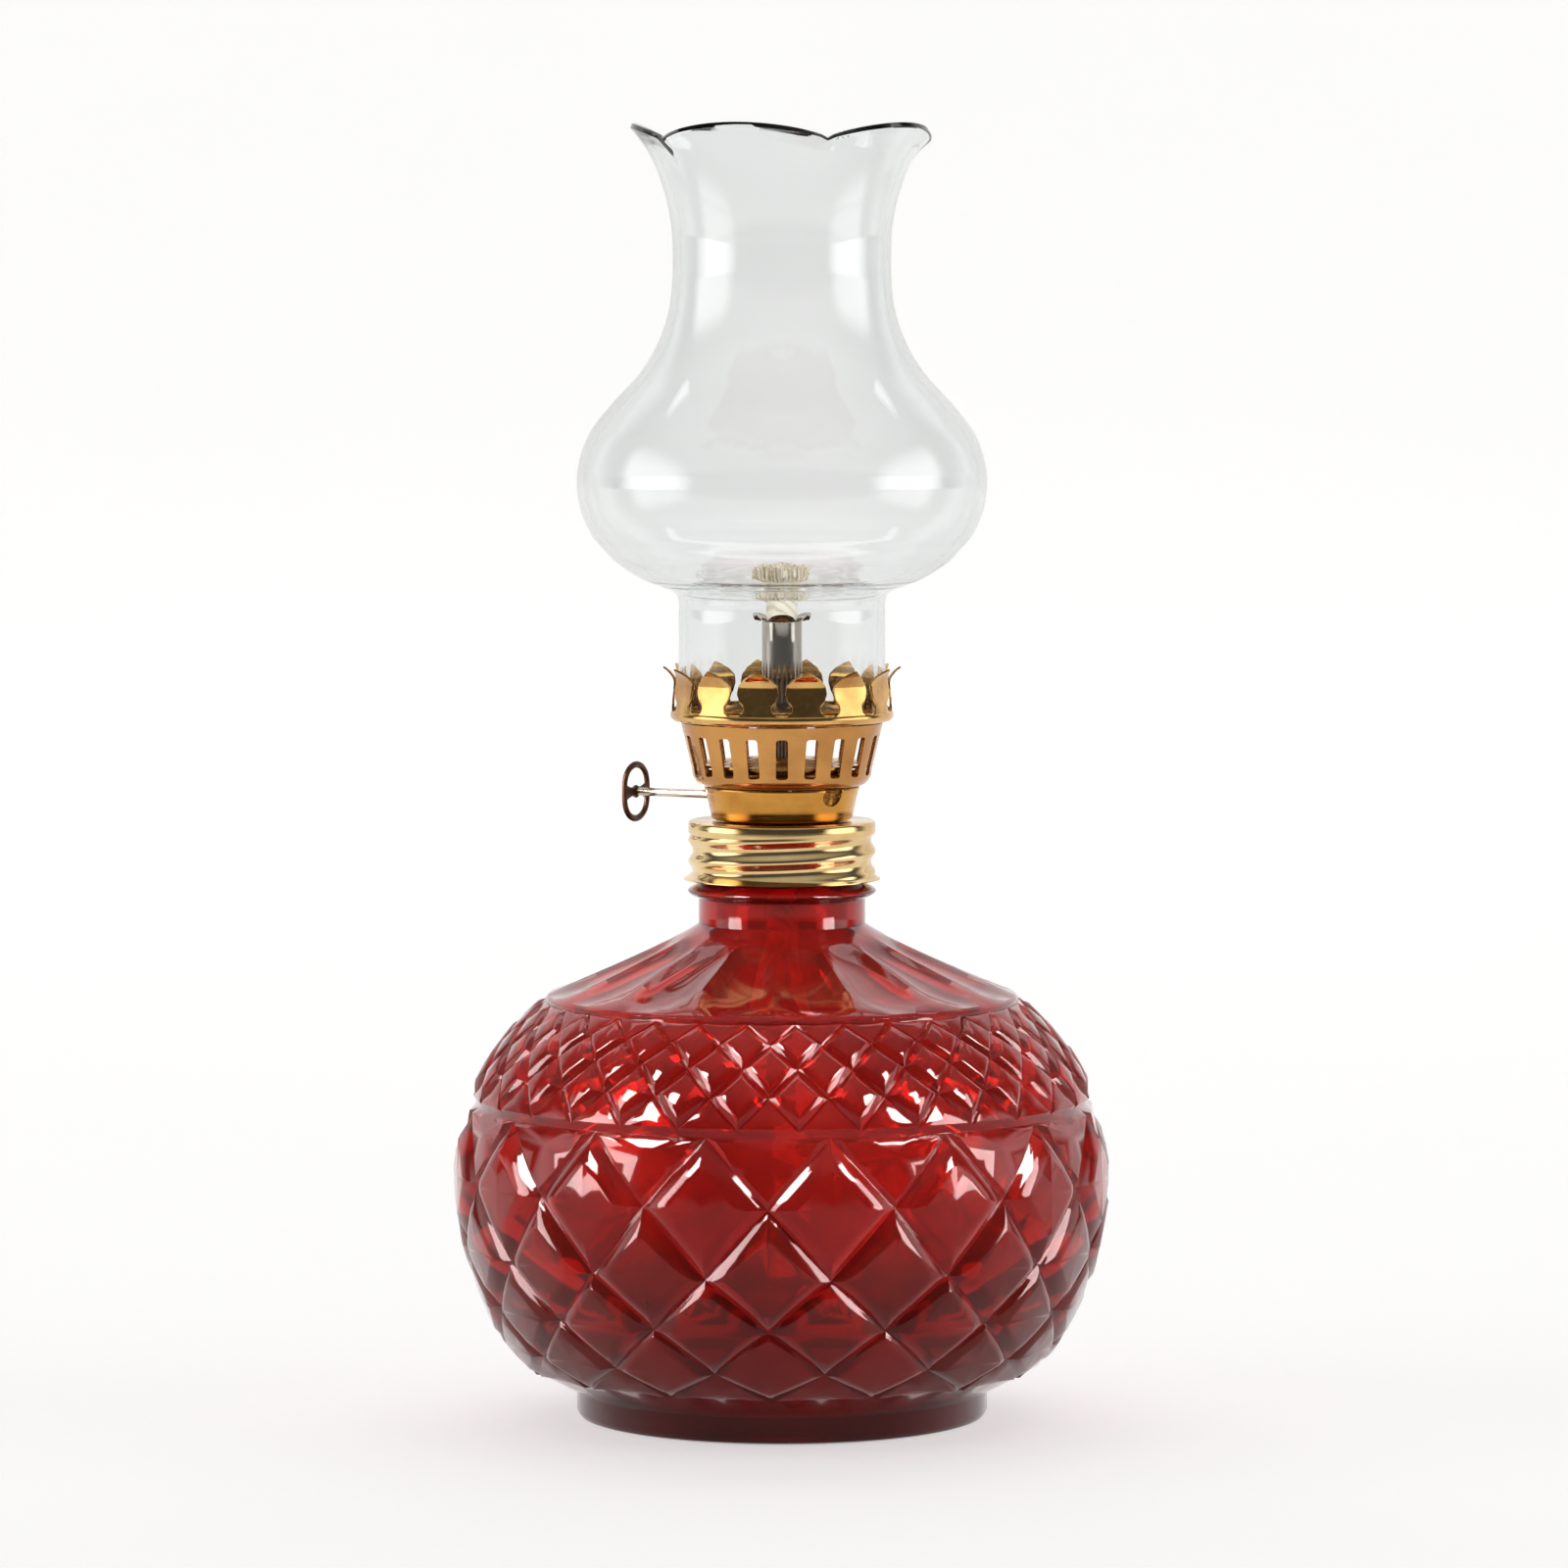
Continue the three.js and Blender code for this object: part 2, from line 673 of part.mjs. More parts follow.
function chimneyGeometry() {
  const outer = chimneyOutline();
  const inner = outer.map(([radius, height]) => [radius - chimneyWall, height]).reverse();
  const geometry = turned([...outer, ...inner, outer[0]], 6 * scallopCount);
  geometry.rotateZ(scallopTurn);
  const position = geometry.attributes.position;
  const rimStart = overallHeight - 9;
  for (let i = 0; i < position.count; i += 1) {
    const angle = Math.atan2(position.getX(i), -position.getY(i)) - scallopTurn;
    const notch = 1 - Math.abs(Math.sin((angle * scallopCount) / 2)) ** 0.8;
    const share = Math.max(0, (position.getZ(i) - rimStart) / (overallHeight - rimStart));
    position.setZ(i, position.getZ(i) - scallopDepth * notch * share);
  }
  return geometry;
}

// ---- the lamp ----

addPart('font', fontGeometry(), finishes.rubyGlass);
addPart('neck_washer', washerGeometry(), finishes.cork);
addPart('screw_collar', collarGeometry(), finishes.yellowBrass);
addPart('burner_cup', cupGeometry(), finishes.goldBrass);
addPart('air_gallery', galleryGeometry(), finishes.goldBrass);
addPart('air_sieve', sieveGeometry(), finishes.goldBrass);
addPart('prong_crown', crownGeometry(), finishes.goldBrass);
addPart('wick_tube', tubeGeometry(), finishes.steel);
addPart('wheel_bracket', bracketGeometry(), finishes.goldBrass);
addPart('wick_wheel', wheelGeometry(), finishes.steel);
addPart('spindle', spindleGeometry(), finishes.steel);
addPart('thumb_knob', knobGeometry(), finishes.bronze);
addPart('wick', wickGeometry(), finishes.cotton);
addPart('wick_tail', tailGeometry(), finishes.cotton);
addPart('chimney', chimneyGeometry(), finishes.clearGlass);

export default group;
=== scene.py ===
import json
import math
import random

import bmesh
import bpy
from mathutils import Matrix, Vector


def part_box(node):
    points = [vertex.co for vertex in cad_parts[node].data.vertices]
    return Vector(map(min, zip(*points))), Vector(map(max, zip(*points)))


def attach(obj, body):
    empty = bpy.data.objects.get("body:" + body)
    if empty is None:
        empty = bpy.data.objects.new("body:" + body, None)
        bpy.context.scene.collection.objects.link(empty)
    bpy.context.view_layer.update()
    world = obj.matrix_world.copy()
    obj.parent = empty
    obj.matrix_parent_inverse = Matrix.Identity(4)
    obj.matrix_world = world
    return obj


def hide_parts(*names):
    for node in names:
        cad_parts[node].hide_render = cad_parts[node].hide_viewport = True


# A small table oil lamp: ruby pressed glass font, brass burner with a wick raiser, cotton wick, clear chimney.
# The frame holds the sizes and the joints. Lengths below are millimetres unless a comment says otherwise.
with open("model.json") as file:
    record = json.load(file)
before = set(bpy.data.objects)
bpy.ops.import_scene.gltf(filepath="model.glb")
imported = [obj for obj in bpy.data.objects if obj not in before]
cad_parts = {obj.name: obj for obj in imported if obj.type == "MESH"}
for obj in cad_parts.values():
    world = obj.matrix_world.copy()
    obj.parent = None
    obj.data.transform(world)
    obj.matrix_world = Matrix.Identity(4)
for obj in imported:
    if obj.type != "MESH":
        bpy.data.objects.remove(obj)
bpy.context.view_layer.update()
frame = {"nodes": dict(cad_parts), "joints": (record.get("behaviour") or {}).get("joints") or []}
mm = 0.001
mergeGap = 0.002  # points nearer than this are one point
print("frame loaded:", ", ".join(sorted(frame["nodes"])))


# ---- camera ----

camera = {"distance": 1534.0, "height": 237.5, "tiltDown": 4.26, "lens": 182.2, "sensor": 36.0, "side": 0.4}


def makeCamera():
    data = bpy.data.cameras.new("camera")
    data.lens = camera["lens"]
    data.sensor_width = camera["sensor"]
    data.clip_end = 20.0
    body = bpy.data.objects.new("camera", data)
    bpy.context.scene.collection.objects.link(body)
    body.location = (camera["side"] * mm, -camera["distance"] * mm, camera["height"] * mm)
    body.rotation_euler = (math.radians(90.0 - camera["tiltDown"]), 0.0, 0.0)
    bpy.context.scene.camera = body


makeCamera()


# ---- small tools ----

def linear(code):
    parts = [int(code[i:i + 2], 16) / 255.0 for i in (1, 3, 5)]
    return tuple(p / 12.92 if p <= 0.04045 else ((p + 0.055) / 1.055) ** 2.4 for p in parts) + (1.0,)


def clearSelection():
    if bpy.context.object and bpy.context.object.mode != "OBJECT":
        bpy.ops.object.mode_set(mode="OBJECT")
    bpy.ops.object.select_all(action="DESELECT")


def edit(piece):
    clearSelection()
    piece.select_set(True)
    bpy.context.view_layer.objects.active = piece
    bpy.ops.object.mode_set(mode="EDIT")


def pick(kind, test):
    bpy.ops.mesh.select_mode(type=kind)
    bpy.ops.mesh.select_all(action="DESELECT")
    mesh = bpy.context.object.data
    body = bmesh.from_edit_mesh(mesh)
    parts = {"VERT": body.verts, "EDGE": body.edges, "FACE": body.faces}[kind]
    chosen = [part for part in parts if test(part)]
    for part in chosen:
        part.select_set(True)
    bmesh.update_edit_mesh(mesh)
    return len(chosen)


def place(vert):
    # radius, height and angle of a vertex: the angle 0 is the front, and it grows towards +X
    x, y, z = vert.co
    return math.hypot(x, y) / mm, z / mm, math.atan2(x, -y)


def turned(name, outline, steps, turn=0.0):
    # an outline of (radius, height) points, drawn by extruding one point, then spun about the lamp's axis
    clearSelection()
    bpy.ops.mesh.primitive_plane_add(size=1 * mm, location=(0, 0, 0))
    piece = bpy.context.object
    piece.name = name
    bpy.ops.object.mode_set(mode="EDIT")
    bpy.ops.mesh.select_mode(type="VERT")
    bpy.ops.mesh.select_all(action="SELECT")
    bpy.ops.mesh.merge(type="CENTER")
    side = Vector((math.sin(turn), -math.cos(turn), 0.0))
    points = [side * (r * mm) + Vector((0.0, 0.0, h * mm)) for r, h in outline]
    bpy.ops.transform.translate(value=points[0])
    for start, end in zip(points, points[1:]):
        bpy.ops.mesh.extrude_region_move(TRANSFORM_OT_translate={"value": end - start})
    bpy.ops.mesh.select_all(action="SELECT")
    bpy.ops.mesh.spin(steps=steps, angle=math.tau, center=(0, 0, 0), axis=(0, 0, 1))
    bpy.ops.mesh.select_all(action="SELECT")
    bpy.ops.mesh.remove_doubles(threshold=mergeGap * mm)
    bpy.ops.mesh.normals_make_consistent(inside=False)
    bpy.ops.object.mode_set(mode="OBJECT")
    return piece


def reshape(piece, change, chosen=lambda vert: True):
    # change(radius, height, angle) gives each chosen vertex its new radius and height
    for vert in piece.data.vertices:
        radius, height, angle = place(vert)
        if radius < 0.01 or not chosen(vert):
            continue
        newRadius, newHeight = change(radius, height, angle)
        vert.co.x *= newRadius / radius
        vert.co.y *= newRadius / radius
        vert.co.z = newHeight * mm
    piece.data.update()


def useModifier(piece, kind, **settings):
    clearSelection()
    piece.select_set(True)
    bpy.context.view_layer.objects.active = piece
    modifier = piece.modifiers.new(kind.lower(), kind)
    for key, value in settings.items():
        setattr(modifier, key, value)
    bpy.ops.object.modifier_apply(modifier=modifier.name)


def softenEdges(piece, width, angle=50.0, segments=2):
    # a small round on every edge sharper than the angle
    useModifier(piece, "BEVEL", width=width * mm, segments=segments, limit_method="ANGLE",
                angle_limit=math.radians(angle))


def smooth(piece, angle):
    clearSelection()
    piece.select_set(True)
    bpy.context.view_layer.objects.active = piece
    bpy.ops.object.shade_smooth_by_angle(angle=math.radians(angle))


def join(name, pieces):
    clearSelection()
    for piece in pieces:
        piece.select_set(True)
    bpy.context.view_layer.objects.active = pieces[0]
    bpy.ops.object.join()
    pieces[0].name = name
    return pieces[0]


def copied(piece, matrix):
    double = piece.copy()
    double.data = piece.data.copy()
    bpy.context.scene.collection.objects.link(double)
    double.data.transform(matrix)
    return double


def around(piece, count, first=0.0):
    # copies of a piece made at the front, turned evenly about the lamp's axis
    ring = [copied(piece, Matrix.Rotation(first + math.tau * i / count, 4, "Z")) for i in range(count)]
    bpy.data.objects.remove(piece)
    return ring


def cut(piece, cutter):
    useModifier(piece, "BOOLEAN", operation="DIFFERENCE", solver="EXACT", object=cutter)
    bpy.data.objects.remove(cutter)


def curveThrough(points, perSpan):
    # a smooth line through given points, as a Catmull-Rom curve
    line = []
    ends = [points[0], *points, points[-1]]
    for a, b, c, d in zip(ends, ends[1:], ends[2:], ends[3:]):
        for i in range(perSpan):
            t = i / perSpan
            line.append(tuple(
                0.5 * (2 * q + (r - p) * t + (2 * p - 5 * q + 4 * r - s) * t * t
                       + (3 * q - p - 3 * r + s) * t ** 3)
                for p, q, r, s in zip(a, b, c, d)))
    line.append(tuple(points[-1]))
    return line


def offsetInwards(line, wall):
    # the same line moved to its left by the wall's thickness, for the inside of a turned wall
    inner = []
    for i, point in enumerate(line):
        before, after = line[max(0, i - 1)], line[min(len(line) - 1, i + 1)]
        run = Vector((after[0] - before[0], after[1] - before[1])).normalized()
        inner.append((point[0] - run.y * wall, point[1] + run.x * wall))
    return inner


def spread(low, high, count):
    return [low + (high - low) * i / count for i in range(count + 1)]


def boxOf(node):
    low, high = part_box(node)
    return [v / mm for v in low], [v / mm for v in high]


def finishPiece(piece, body, material, node):
    # the piece rides on its body and stands for its CAD node
    piece.data.materials.clear()
    piece.data.materials.append(material)
    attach(piece, body)
    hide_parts(node)
    print("made", piece.name)


# ---- materials ----

def newMaterial(name, **sockets):
    material = bpy.data.materials.new(name)
    material.use_nodes = True
    shader = material.node_tree.nodes["Principled BSDF"]
    for key, value in sockets.items():
        shader.inputs[key.replace("_", " ")].default_value = value
    return material, shader


def addNode(material, kind, links=None, **settings):
    # adds a node: settings are its own fields, or its sockets' values where the name is a socket's
    node = material.node_tree.nodes.new(kind)
    for key, value in settings.items():
        if hasattr(node, key):
            setattr(node, key, value)
        else:
            node.inputs[key.replace("_", " ")].default_value = value
    for socket, source in (links or {}).items():
        material.node_tree.links.new(source, node.inputs[socket])
    return node


def place3d(material, scale=(1.0, 1.0, 1.0)):
    where = addNode(material, "ShaderNodeTexCoord")
    return addNode(material, "ShaderNodeMapping", {"Vector": where.outputs["Object"]}, Scale=scale).outputs[0]


def ramp(material, source, *stops):
    node = addNode(material, "ShaderNodeValToRGB", {0: source})
    elements = node.color_ramp.elements
    while len(elements) < len(stops):
        elements.new(0.5)
    for element, (position, colour) in zip(elements, stops):
        element.position = position
        element.color = linear(colour) if isinstance(colour, str) else (colour, colour, colour, 1.0)
    return node.outputs[0]


def feed(material, shader, socket, source):
    material.node_tree.links.new(source, shader.inputs[socket])


def addBump(material, shader, source, height):
    bump = addNode(material, "ShaderNodeBump", {"Height": source}, Strength=1.0, Distance=height * mm)
    feed(material, shader, "Normal", bump.outputs[0])


def fade(owner, source, span, low, high):
    # a smooth change from low to high as the source goes from the span's start to its end
    node = addNode(owner, "ShaderNodeMapRange", {0: source}, interpolation_type="SMOOTHSTEP")
    for socket, value in zip(("From Min", "From Max", "To Min", "To Max"), (*span, low, high)):
        node.inputs[socket].default_value = value
    return node.outputs[0]


def combine(owner, first, second, operation):
    return addNode(owner, "ShaderNodeMath", {0: first, 1: second}, operation=operation).outputs[0]


def addDepth(material, look):
    # light is taken up with the distance it goes through the glass
    depth = addNode(material, "ShaderNodeVolumeAbsorption", Density=look["density"])
    depth.inputs["Color"].default_value = linear(look["passed"])
    result = material.node_tree.nodes["Material Output"]
    material.node_tree.links.new(depth.outputs[0], result.inputs["Volume"])


rubyLook = {
    "skinLight": "#cc4136", "skinDeep": "#ac3028", "mirrored": "#84443e", "patchSize": 22.0,
    "rippleSize": 8.0, "rippleHeight": 0.10, "passed": "#f0503a", "density": 230.0,
    # footShade, footTop and footFade set the painted shade on the foot
    "footShade": 0.40, "footTop": 5.0, "footFade": 8.0,
}


def makeRubyGlass():
    # selenium ruby soda-lime glass, pressed: a little haze in the melt holds some light, thick parts darken,
    # and the fire-polished skin over it has a wet gloss with faint mould ripples
    material, shader = newMaterial("rubyPressedGlass", Roughness=0.10, IOR=1.5, Transmission_Weight=0.94,
                                   Coat_Weight=0.34, Coat_Roughness=0.02)
    shader.inputs["Specular Tint"].default_value = linear(rubyLook["mirrored"])
    here = place3d(material)
    patches = addNode(material, "ShaderNodeTexNoise", {"Vector": here},
                      Scale=1000 / rubyLook["patchSize"], Detail=2.0)
    tint = ramp(material, patches.outputs["Fac"], (0.35, rubyLook["skinDeep"]), (0.65, rubyLook["skinLight"]))
    # the foot is solid glass; its colour is darkened towards the bottom with painted shade, most of all below
    # the foot's top
    height = addNode(material, "ShaderNodeSeparateXYZ", {0: here}).outputs[2]
    top = rubyLook["footTop"] * mm
    paintedFootShade = fade(material, height, (top, top + rubyLook["footFade"] * mm), rubyLook["footShade"], 1.0)
    darkened = addNode(material, "ShaderNodeVectorMath", {0: tint, "Scale": paintedFootShade}, operation="SCALE")
    feed(material, shader, "Base Color", darkened.outputs[0])
    ripple = addNode(material, "ShaderNodeTexNoise", {"Vector": here},
                     Scale=1000 / rubyLook["rippleSize"], Detail=1.0)
    addBump(material, shader, ripple.outputs["Fac"], rubyLook["rippleHeight"])
    addDepth(material, rubyLook)
    return material


clearLook = {
    "clear": "#fefefe", "tint": "#fbfcfc", "rippleSize": 30.0, "rippleHeight": 0.05, "ripplePull": 0.4,
    "passed": "#d8dcdb", "density": 150.0,
}


def makeClearGlass():
    # blown soda-lime glass: nearly colourless and glossy, with long shallow waves from blowing
    material, shader = newMaterial("clearBlownGlass", Roughness=0.0, IOR=1.48, Transmission_Weight=1.0)
    here = place3d(material, (1.0, 1.0, clearLook["ripplePull"]))
    wave = addNode(material, "ShaderNodeTexNoise", {"Vector": here},
                   Scale=1000 / clearLook["rippleSize"], Detail=1.0)
    tint = ramp(material, wave.outputs["Fac"], (0.3, clearLook["clear"]), (0.7, clearLook["tint"]))
    feed(material, shader, "Base Color", tint)
    addBump(material, shader, wave.outputs["Fac"], clearLook["rippleHeight"])
    addDepth(material, clearLook)
    return material


def makeMetal(name, light, dark, roughness, markSize, markHeight, stretch, patch=14.0, wear=0.12):
    # a metal with slow patches of tarnish, and drawn or turned marks that run the way stretch is smallest
    material, shader = newMaterial(name, Metallic=1.0)
    here = place3d(material)
    patches = addNode(material, "ShaderNodeTexNoise", {"Vector": here}, Scale=1000 / patch, Detail=4.0)
    feed(material, shader, "Base Color", ramp(material, patches.outputs["Fac"], (0.3, dark), (0.62, light)))
    along = place3d(material, stretch)
    marks = addNode(material, "ShaderNodeTexNoise", {"Vector": along}, Scale=1000 / markSize, Detail=3.0)
    gloss = ramp(material, marks.outputs["Fac"], (0.25, max(0.02, roughness - wear)), (0.75, roughness + wear))
    feed(material, shader, "Roughness", gloss)
    addBump(material, shader, marks.outputs["Fac"], markHeight)
    return material


cottonLook = {"ply": 1.814, "fuzz": 0.7, "height": 0.15, "groove": "#cdbf9f", "yarn": "#f5efe0"}


def makeCotton():
    # bleached cotton yarn, braided: matt, fuzzy and warm white. The real plies are about 0.8 mm apart, and
    # they are drawn twice as wide to show
    material, shader = newMaterial("braidedCotton", Roughness=0.95, Sheen_Weight=0.4)
    here = place3d(material)
    # diagonal bands of a wave texture at scale 1 are this many units apart
    bandGap = math.tau / (10 * math.sqrt(3))
    plies = addNode(material, "ShaderNodeTexWave", {"Vector": here}, Scale=1000 * bandGap / cottonLook["ply"],
                    Distortion=3.0, bands_direction="DIAGONAL")
    fuzz = addNode(material, "ShaderNodeTexNoise", {"Vector": here},
                   Scale=1000 / cottonLook["fuzz"], Detail=3.0)
    blend = combine(material, plies.outputs["Fac"], fuzz.outputs["Fac"], "ADD")
    # painted shade: the grooves between the plies, where the bump is low, are coloured darker
    tint = ramp(material, blend, (0.3, cottonLook["groove"]), (1.0, cottonLook["yarn"]))
    feed(material, shader, "Base Color", tint)
    addBump(material, shader, blend, cottonLook["height"])
    return material


corkLook = {"grain": 1.4, "height": 0.2, "fleck": "#6d4a2c", "granule": "#b58a5c"}


def makeCork():
    # pressed cork granules of 1 to 2 mm, warm brown with dark flecks
    material, shader = newMaterial("pressedCork", Roughness=0.9)
    here = place3d(material)
    grains = addNode(material, "ShaderNodeTexVoronoi", {"Vector": here}, Scale=1000 / corkLook["grain"])
    tint = ramp(material, grains.outputs["Color"], (0.1, corkLook["fleck"]), (0.6, corkLook["granule"]))
    feed(material, shader, "Base Color", tint)
    addBump(material, shader, grains.outputs["Distance"], corkLook["height"])
    return material


rubyGlass = makeRubyGlass()
clearGlass = makeClearGlass()
# thin yellow brass, rolled and bright dipped: pale, very reflective, with fine lines round the collar
rolledBrass = makeMetal("rolledYellowBrass", "#eed09a", "#caa05c", 0.14, 1.5, 0.01, (0.1, 0.1, 3.0))
# drawn brass under a gold lacquer: satin, with the orange of the lacquer and turning lines
lacqueredBrass = makeMetal("lacqueredGoldBrass", "#d99f4b", "#b57a35", 0.20, 1.2, 0.01, (0.15, 0.15, 3.0))
# the gallery's lacquer is browner, from heat
heatedBrass = makeMetal("heatBrownedBrass", "#cf9655", "#a5703d", 0.20, 1.0, 0.012, (0.15, 0.15, 3.0))
# the crown is stamped from thinner polished sheet, and mirrors light and dark in turn
polishedBrass = makeMetal("polishedStampedBrass", "#e0b26c", "#9c6434", 0.12, 1.0, 0.01, (1.0, 1.0, 1.0))
# darkened bronze stamping: brown-black with random patches of worn copper
darkBronze = makeMetal("darkenedBronze", "#654536", "#2c201a", 0.38, 0.8, 0.03, (1.0, 1.0, 1.0), 4.0)
# steel tube under thin nickel, smoked by the flame: mirror bright on a dark ground
platedSteel = makeMetal("smokedNickelSteel", "#c9c3ba", "#a39b90", 0.07, 2.0, 0.005, (1.0, 1.0, 0.05),
                        20.0, 0.05)
# the spindle is plain drawn wire, satin along its length
drawnSteel = makeMetal("drawnSteelWire", "#e0cfba", "#ab9a8c", 0.22, 1.0, 0.008, (0.3, 0.3, 1.0), 6.0)
cotton = makeCotton()
cork = makeCork()
print("materials made")


# ---- the wick's tail, which hangs free in the font ----

tail = {"route": [
    (0, 0, 107.7), (0, 0, 102), (0.1, 0, 96), (0.3, 0.1, 90), (0.7, 0.2, 84), (1.1, 0.3, 78),
    (1.5, 0.3, 72), (1.8, 0.2, 66), (2.0, 0, 60), (2.0, -0.2, 54), (1.8, -0.4, 48), (1.5, -0.5, 42),
    (1.1, -0.5, 36), (0.7, -0.4, 30), (0.4, -0.3, 24), (0.2, -0.2, 20), (0.1, -0.1, 16)],
    "diameter": 6.0}


def makeTail():
    data = bpy.data.curves.new("wickTail", "CURVE")
    data.dimensions = "3D"
    data.bevel_depth = tail["diameter"] / 2 * mm
    data.bevel_resolution = 4
    data.resolution_u = 6
    data.use_fill_caps = True
    spline = data.splines.new("BEZIER")
    spline.bezier_points.add(len(tail["route"]) - 1)
    for knot, point in zip(spline.bezier_points, tail["route"]):
        knot.co = Vector(point) * mm
        knot.handle_left_type = "AUTO"
        knot.handle_right_type = "AUTO"
    piece = bpy.data.objects.new("wickTail", data)
    bpy.context.scene.collection.objects.link(piece)
    finishPiece(piece, "wick", cotton, "wick_tail")


makeTail()


# ---- font ----

font = {
    "footRadius": 40.0, "footHeight": 5.5, "footRecess": 1.6, "footRing": 7.0,
    "radius": 64.0, "belly": 47.9, "crownRise": 49.3, "shoulder": 82.5,
    "neckBottom": 96.2, "neckRadius": 16.2, "beadBottom": 101.2, "beadHeight": 2.8, "beadBulge": 2.1,
    "shoulderPull": (22.0, 92.2), "insidePull": (18.0, 89.5), "insideNeck": 94.0,
    "wall": 4.0, "floor": 9.0, "mouth": 12.5, "bowlTop": 79.0, "bowlLow": 13.0, "floorEdge": (14.0, 10.1),
    "fullDepthFrom": 24.0, "neckFrom": 95.0, "neckMiddle": 14.0,
    "spokes": 128, "turn": math.radians(-2.5),
    "largeRows": [61.1, 47.9, 34.3, 24.0, 15.5, 10.3], "largeDepth": 2.3,
    "smallRows": [62.3, 68.2, 73.3, 77.5, 81.0], "smallDepth": 1.7,
    "largeLifts": [(0.05, 0.065), (0.17, 0.12), (0.08, 0.012)], "largeDome": 0.012,
    "smallLifts": [(0.06, 0.09), (0.19, 0.17), (0.12, 0.05)], "smallDome": 0.03, "halfBorder": 0.07,
    "flutes": 16, "fluteDepth": 1.4, "fluteTop": 93.5, "edgeRound": 0.18,
}
thread = {"core": 15.5, "depth": 1.5, "pitch": 4.15, "phase": 105.2, "low": 104.2, "high": 113.5}


def threadWave(angle, height):
    # 1 on the crest of the thread and 0 in its groove
    turns = (height - thread["phase"]) / thread["pitch"] - angle / math.tau
    return 0.5 + 0.5 * math.cos(math.tau * turns)


def fontCrest(height):
    # the radius over the tops of the diamonds
    if height > font["belly"]:
        return font["radius"] * math.sqrt(1 - ((height - font["belly"]) / font["crownRise"]) ** 2)
    depth = (font["belly"] - height) / (font["belly"] - font["footHeight"])
    footTop = font["footRadius"] + 1
    return footTop + (font["radius"] - footTop) * (1 - depth ** 2) ** 0.6


def fontInside(height):
    # the radius of the hollow inside
    rise = font["crownRise"] - font["wall"] if height > font["belly"] else font["belly"] - font["floor"]
    return (font["radius"] - font["wall"]) * math.sqrt(max(0.0, 1 - ((height - font["belly"]) / rise) ** 2))


def bentLine(low, middle, high, count):
    # a quadratic curve from low to high, as (radius, height) points
    return [tuple((1 - t) ** 2 * a + 2 * t * (1 - t) * b + t * t * c for a, b, c in zip(low, middle, high))
            for t in spread(0.0, 1.0, count)]


def fontOutline():
    rows = font["largeRows"]
    low = [r for top, bottom in zip(rows, rows[1:]) for r in spread(top, bottom, 4)[:-1]] + [rows[-1]]
    small = font["smallRows"]
    high = [r for bottom, top in zip(small, small[1:]) for r in spread(bottom, top, 2)[:-1]] + [small[-1]]
    large = [(fontCrest(h) - font["largeDepth"] * min(1.0, h / font["fullDepthFrom"]), h)
             for h in reversed(low)]
    upper = [(fontCrest(h) - font["smallDepth"], h) for h in high]
    edge = fontCrest(font["shoulder"])
    neck = (font["neckRadius"], font["neckBottom"])
    shoulder = bentLine((edge - 0.3, font["shoulder"]), font["shoulderPull"], neck, 14)
    bead = [(font["neckRadius"] + font["beadBulge"] * math.sin(math.pi * t),
             font["beadBottom"] + font["beadHeight"] * t) for t in spread(0.0, 1.0, 8)]
    screw = [(thread["core"], h) for h in spread(thread["low"], thread["high"], 22)]
    foot = font["footRadius"]
    ring = foot - font["footRing"]
    insideEdge = (fontInside(font["shoulder"]), font["shoulder"])
    insideShoulder = bentLine((font["mouth"], font["insideNeck"]), font["insidePull"], insideEdge, 8)
    insideBowl = [(fontInside(h), h) for h in spread(font["bowlTop"], font["bowlLow"], 16)]
    return [
        (0, font["footRecess"]), (ring - 3, font["footRecess"]), (ring - 0.5, 0.3), (ring, 0), (foot - 2.0, 0),
        (foot - 0.6, 0.5), (foot, 1.6), (foot, font["footHeight"]), (foot + 2.2, 6.6), *large,
        *upper, (edge + 0.3, font["shoulder"] - 0.6), *shoulder,
        (font["neckRadius"], font["beadBottom"]), *bead[1:-1], (thread["core"] + 0.6, 104.05), *screw,
        (thread["core"] - 0.8, thread["high"]), (font["mouth"] + 0.8, thread["high"]),
        (font["mouth"], thread["high"] - 0.8), *insideShoulder, *insideBowl,
        font["floorEdge"], (0, font["floor"])]


def isOuter(vert):
    # the wall's outer side: told by the inside's radius up to the shoulder, and by a line between both slopes
    # and the middle of the neck's wall above it
    radius, height, angle = place(vert)
    if height < font["shoulder"] - 0.5:
        return radius > fontInside(max(height, font["floor"])) + 0.8
    between = font["shoulder"] + (fontInside(font["shoulder"]) - radius) * 0.36 + 1.2
    return height > between or height > font["neckFrom"] and radius > font["neckMiddle"]


def rowAndColumn(vert, rows, parts):
    # which lattice row and column an outer vertex is on, or None
    radius, height, angle = place(vert)
    if radius < fontInside(min(height, 85.0)) + 0.8:
        return None
    column = round((angle - font["turn"]) / math.tau * font["spokes"])
    for i, (start, end) in enumerate(zip(rows, rows[1:])):
        share = (height - start) / (end - start) * parts
        if -0.01 < share < parts + 0.01 and abs(share - round(share)) < 0.02:
            return i * parts + round(share), column
    return None


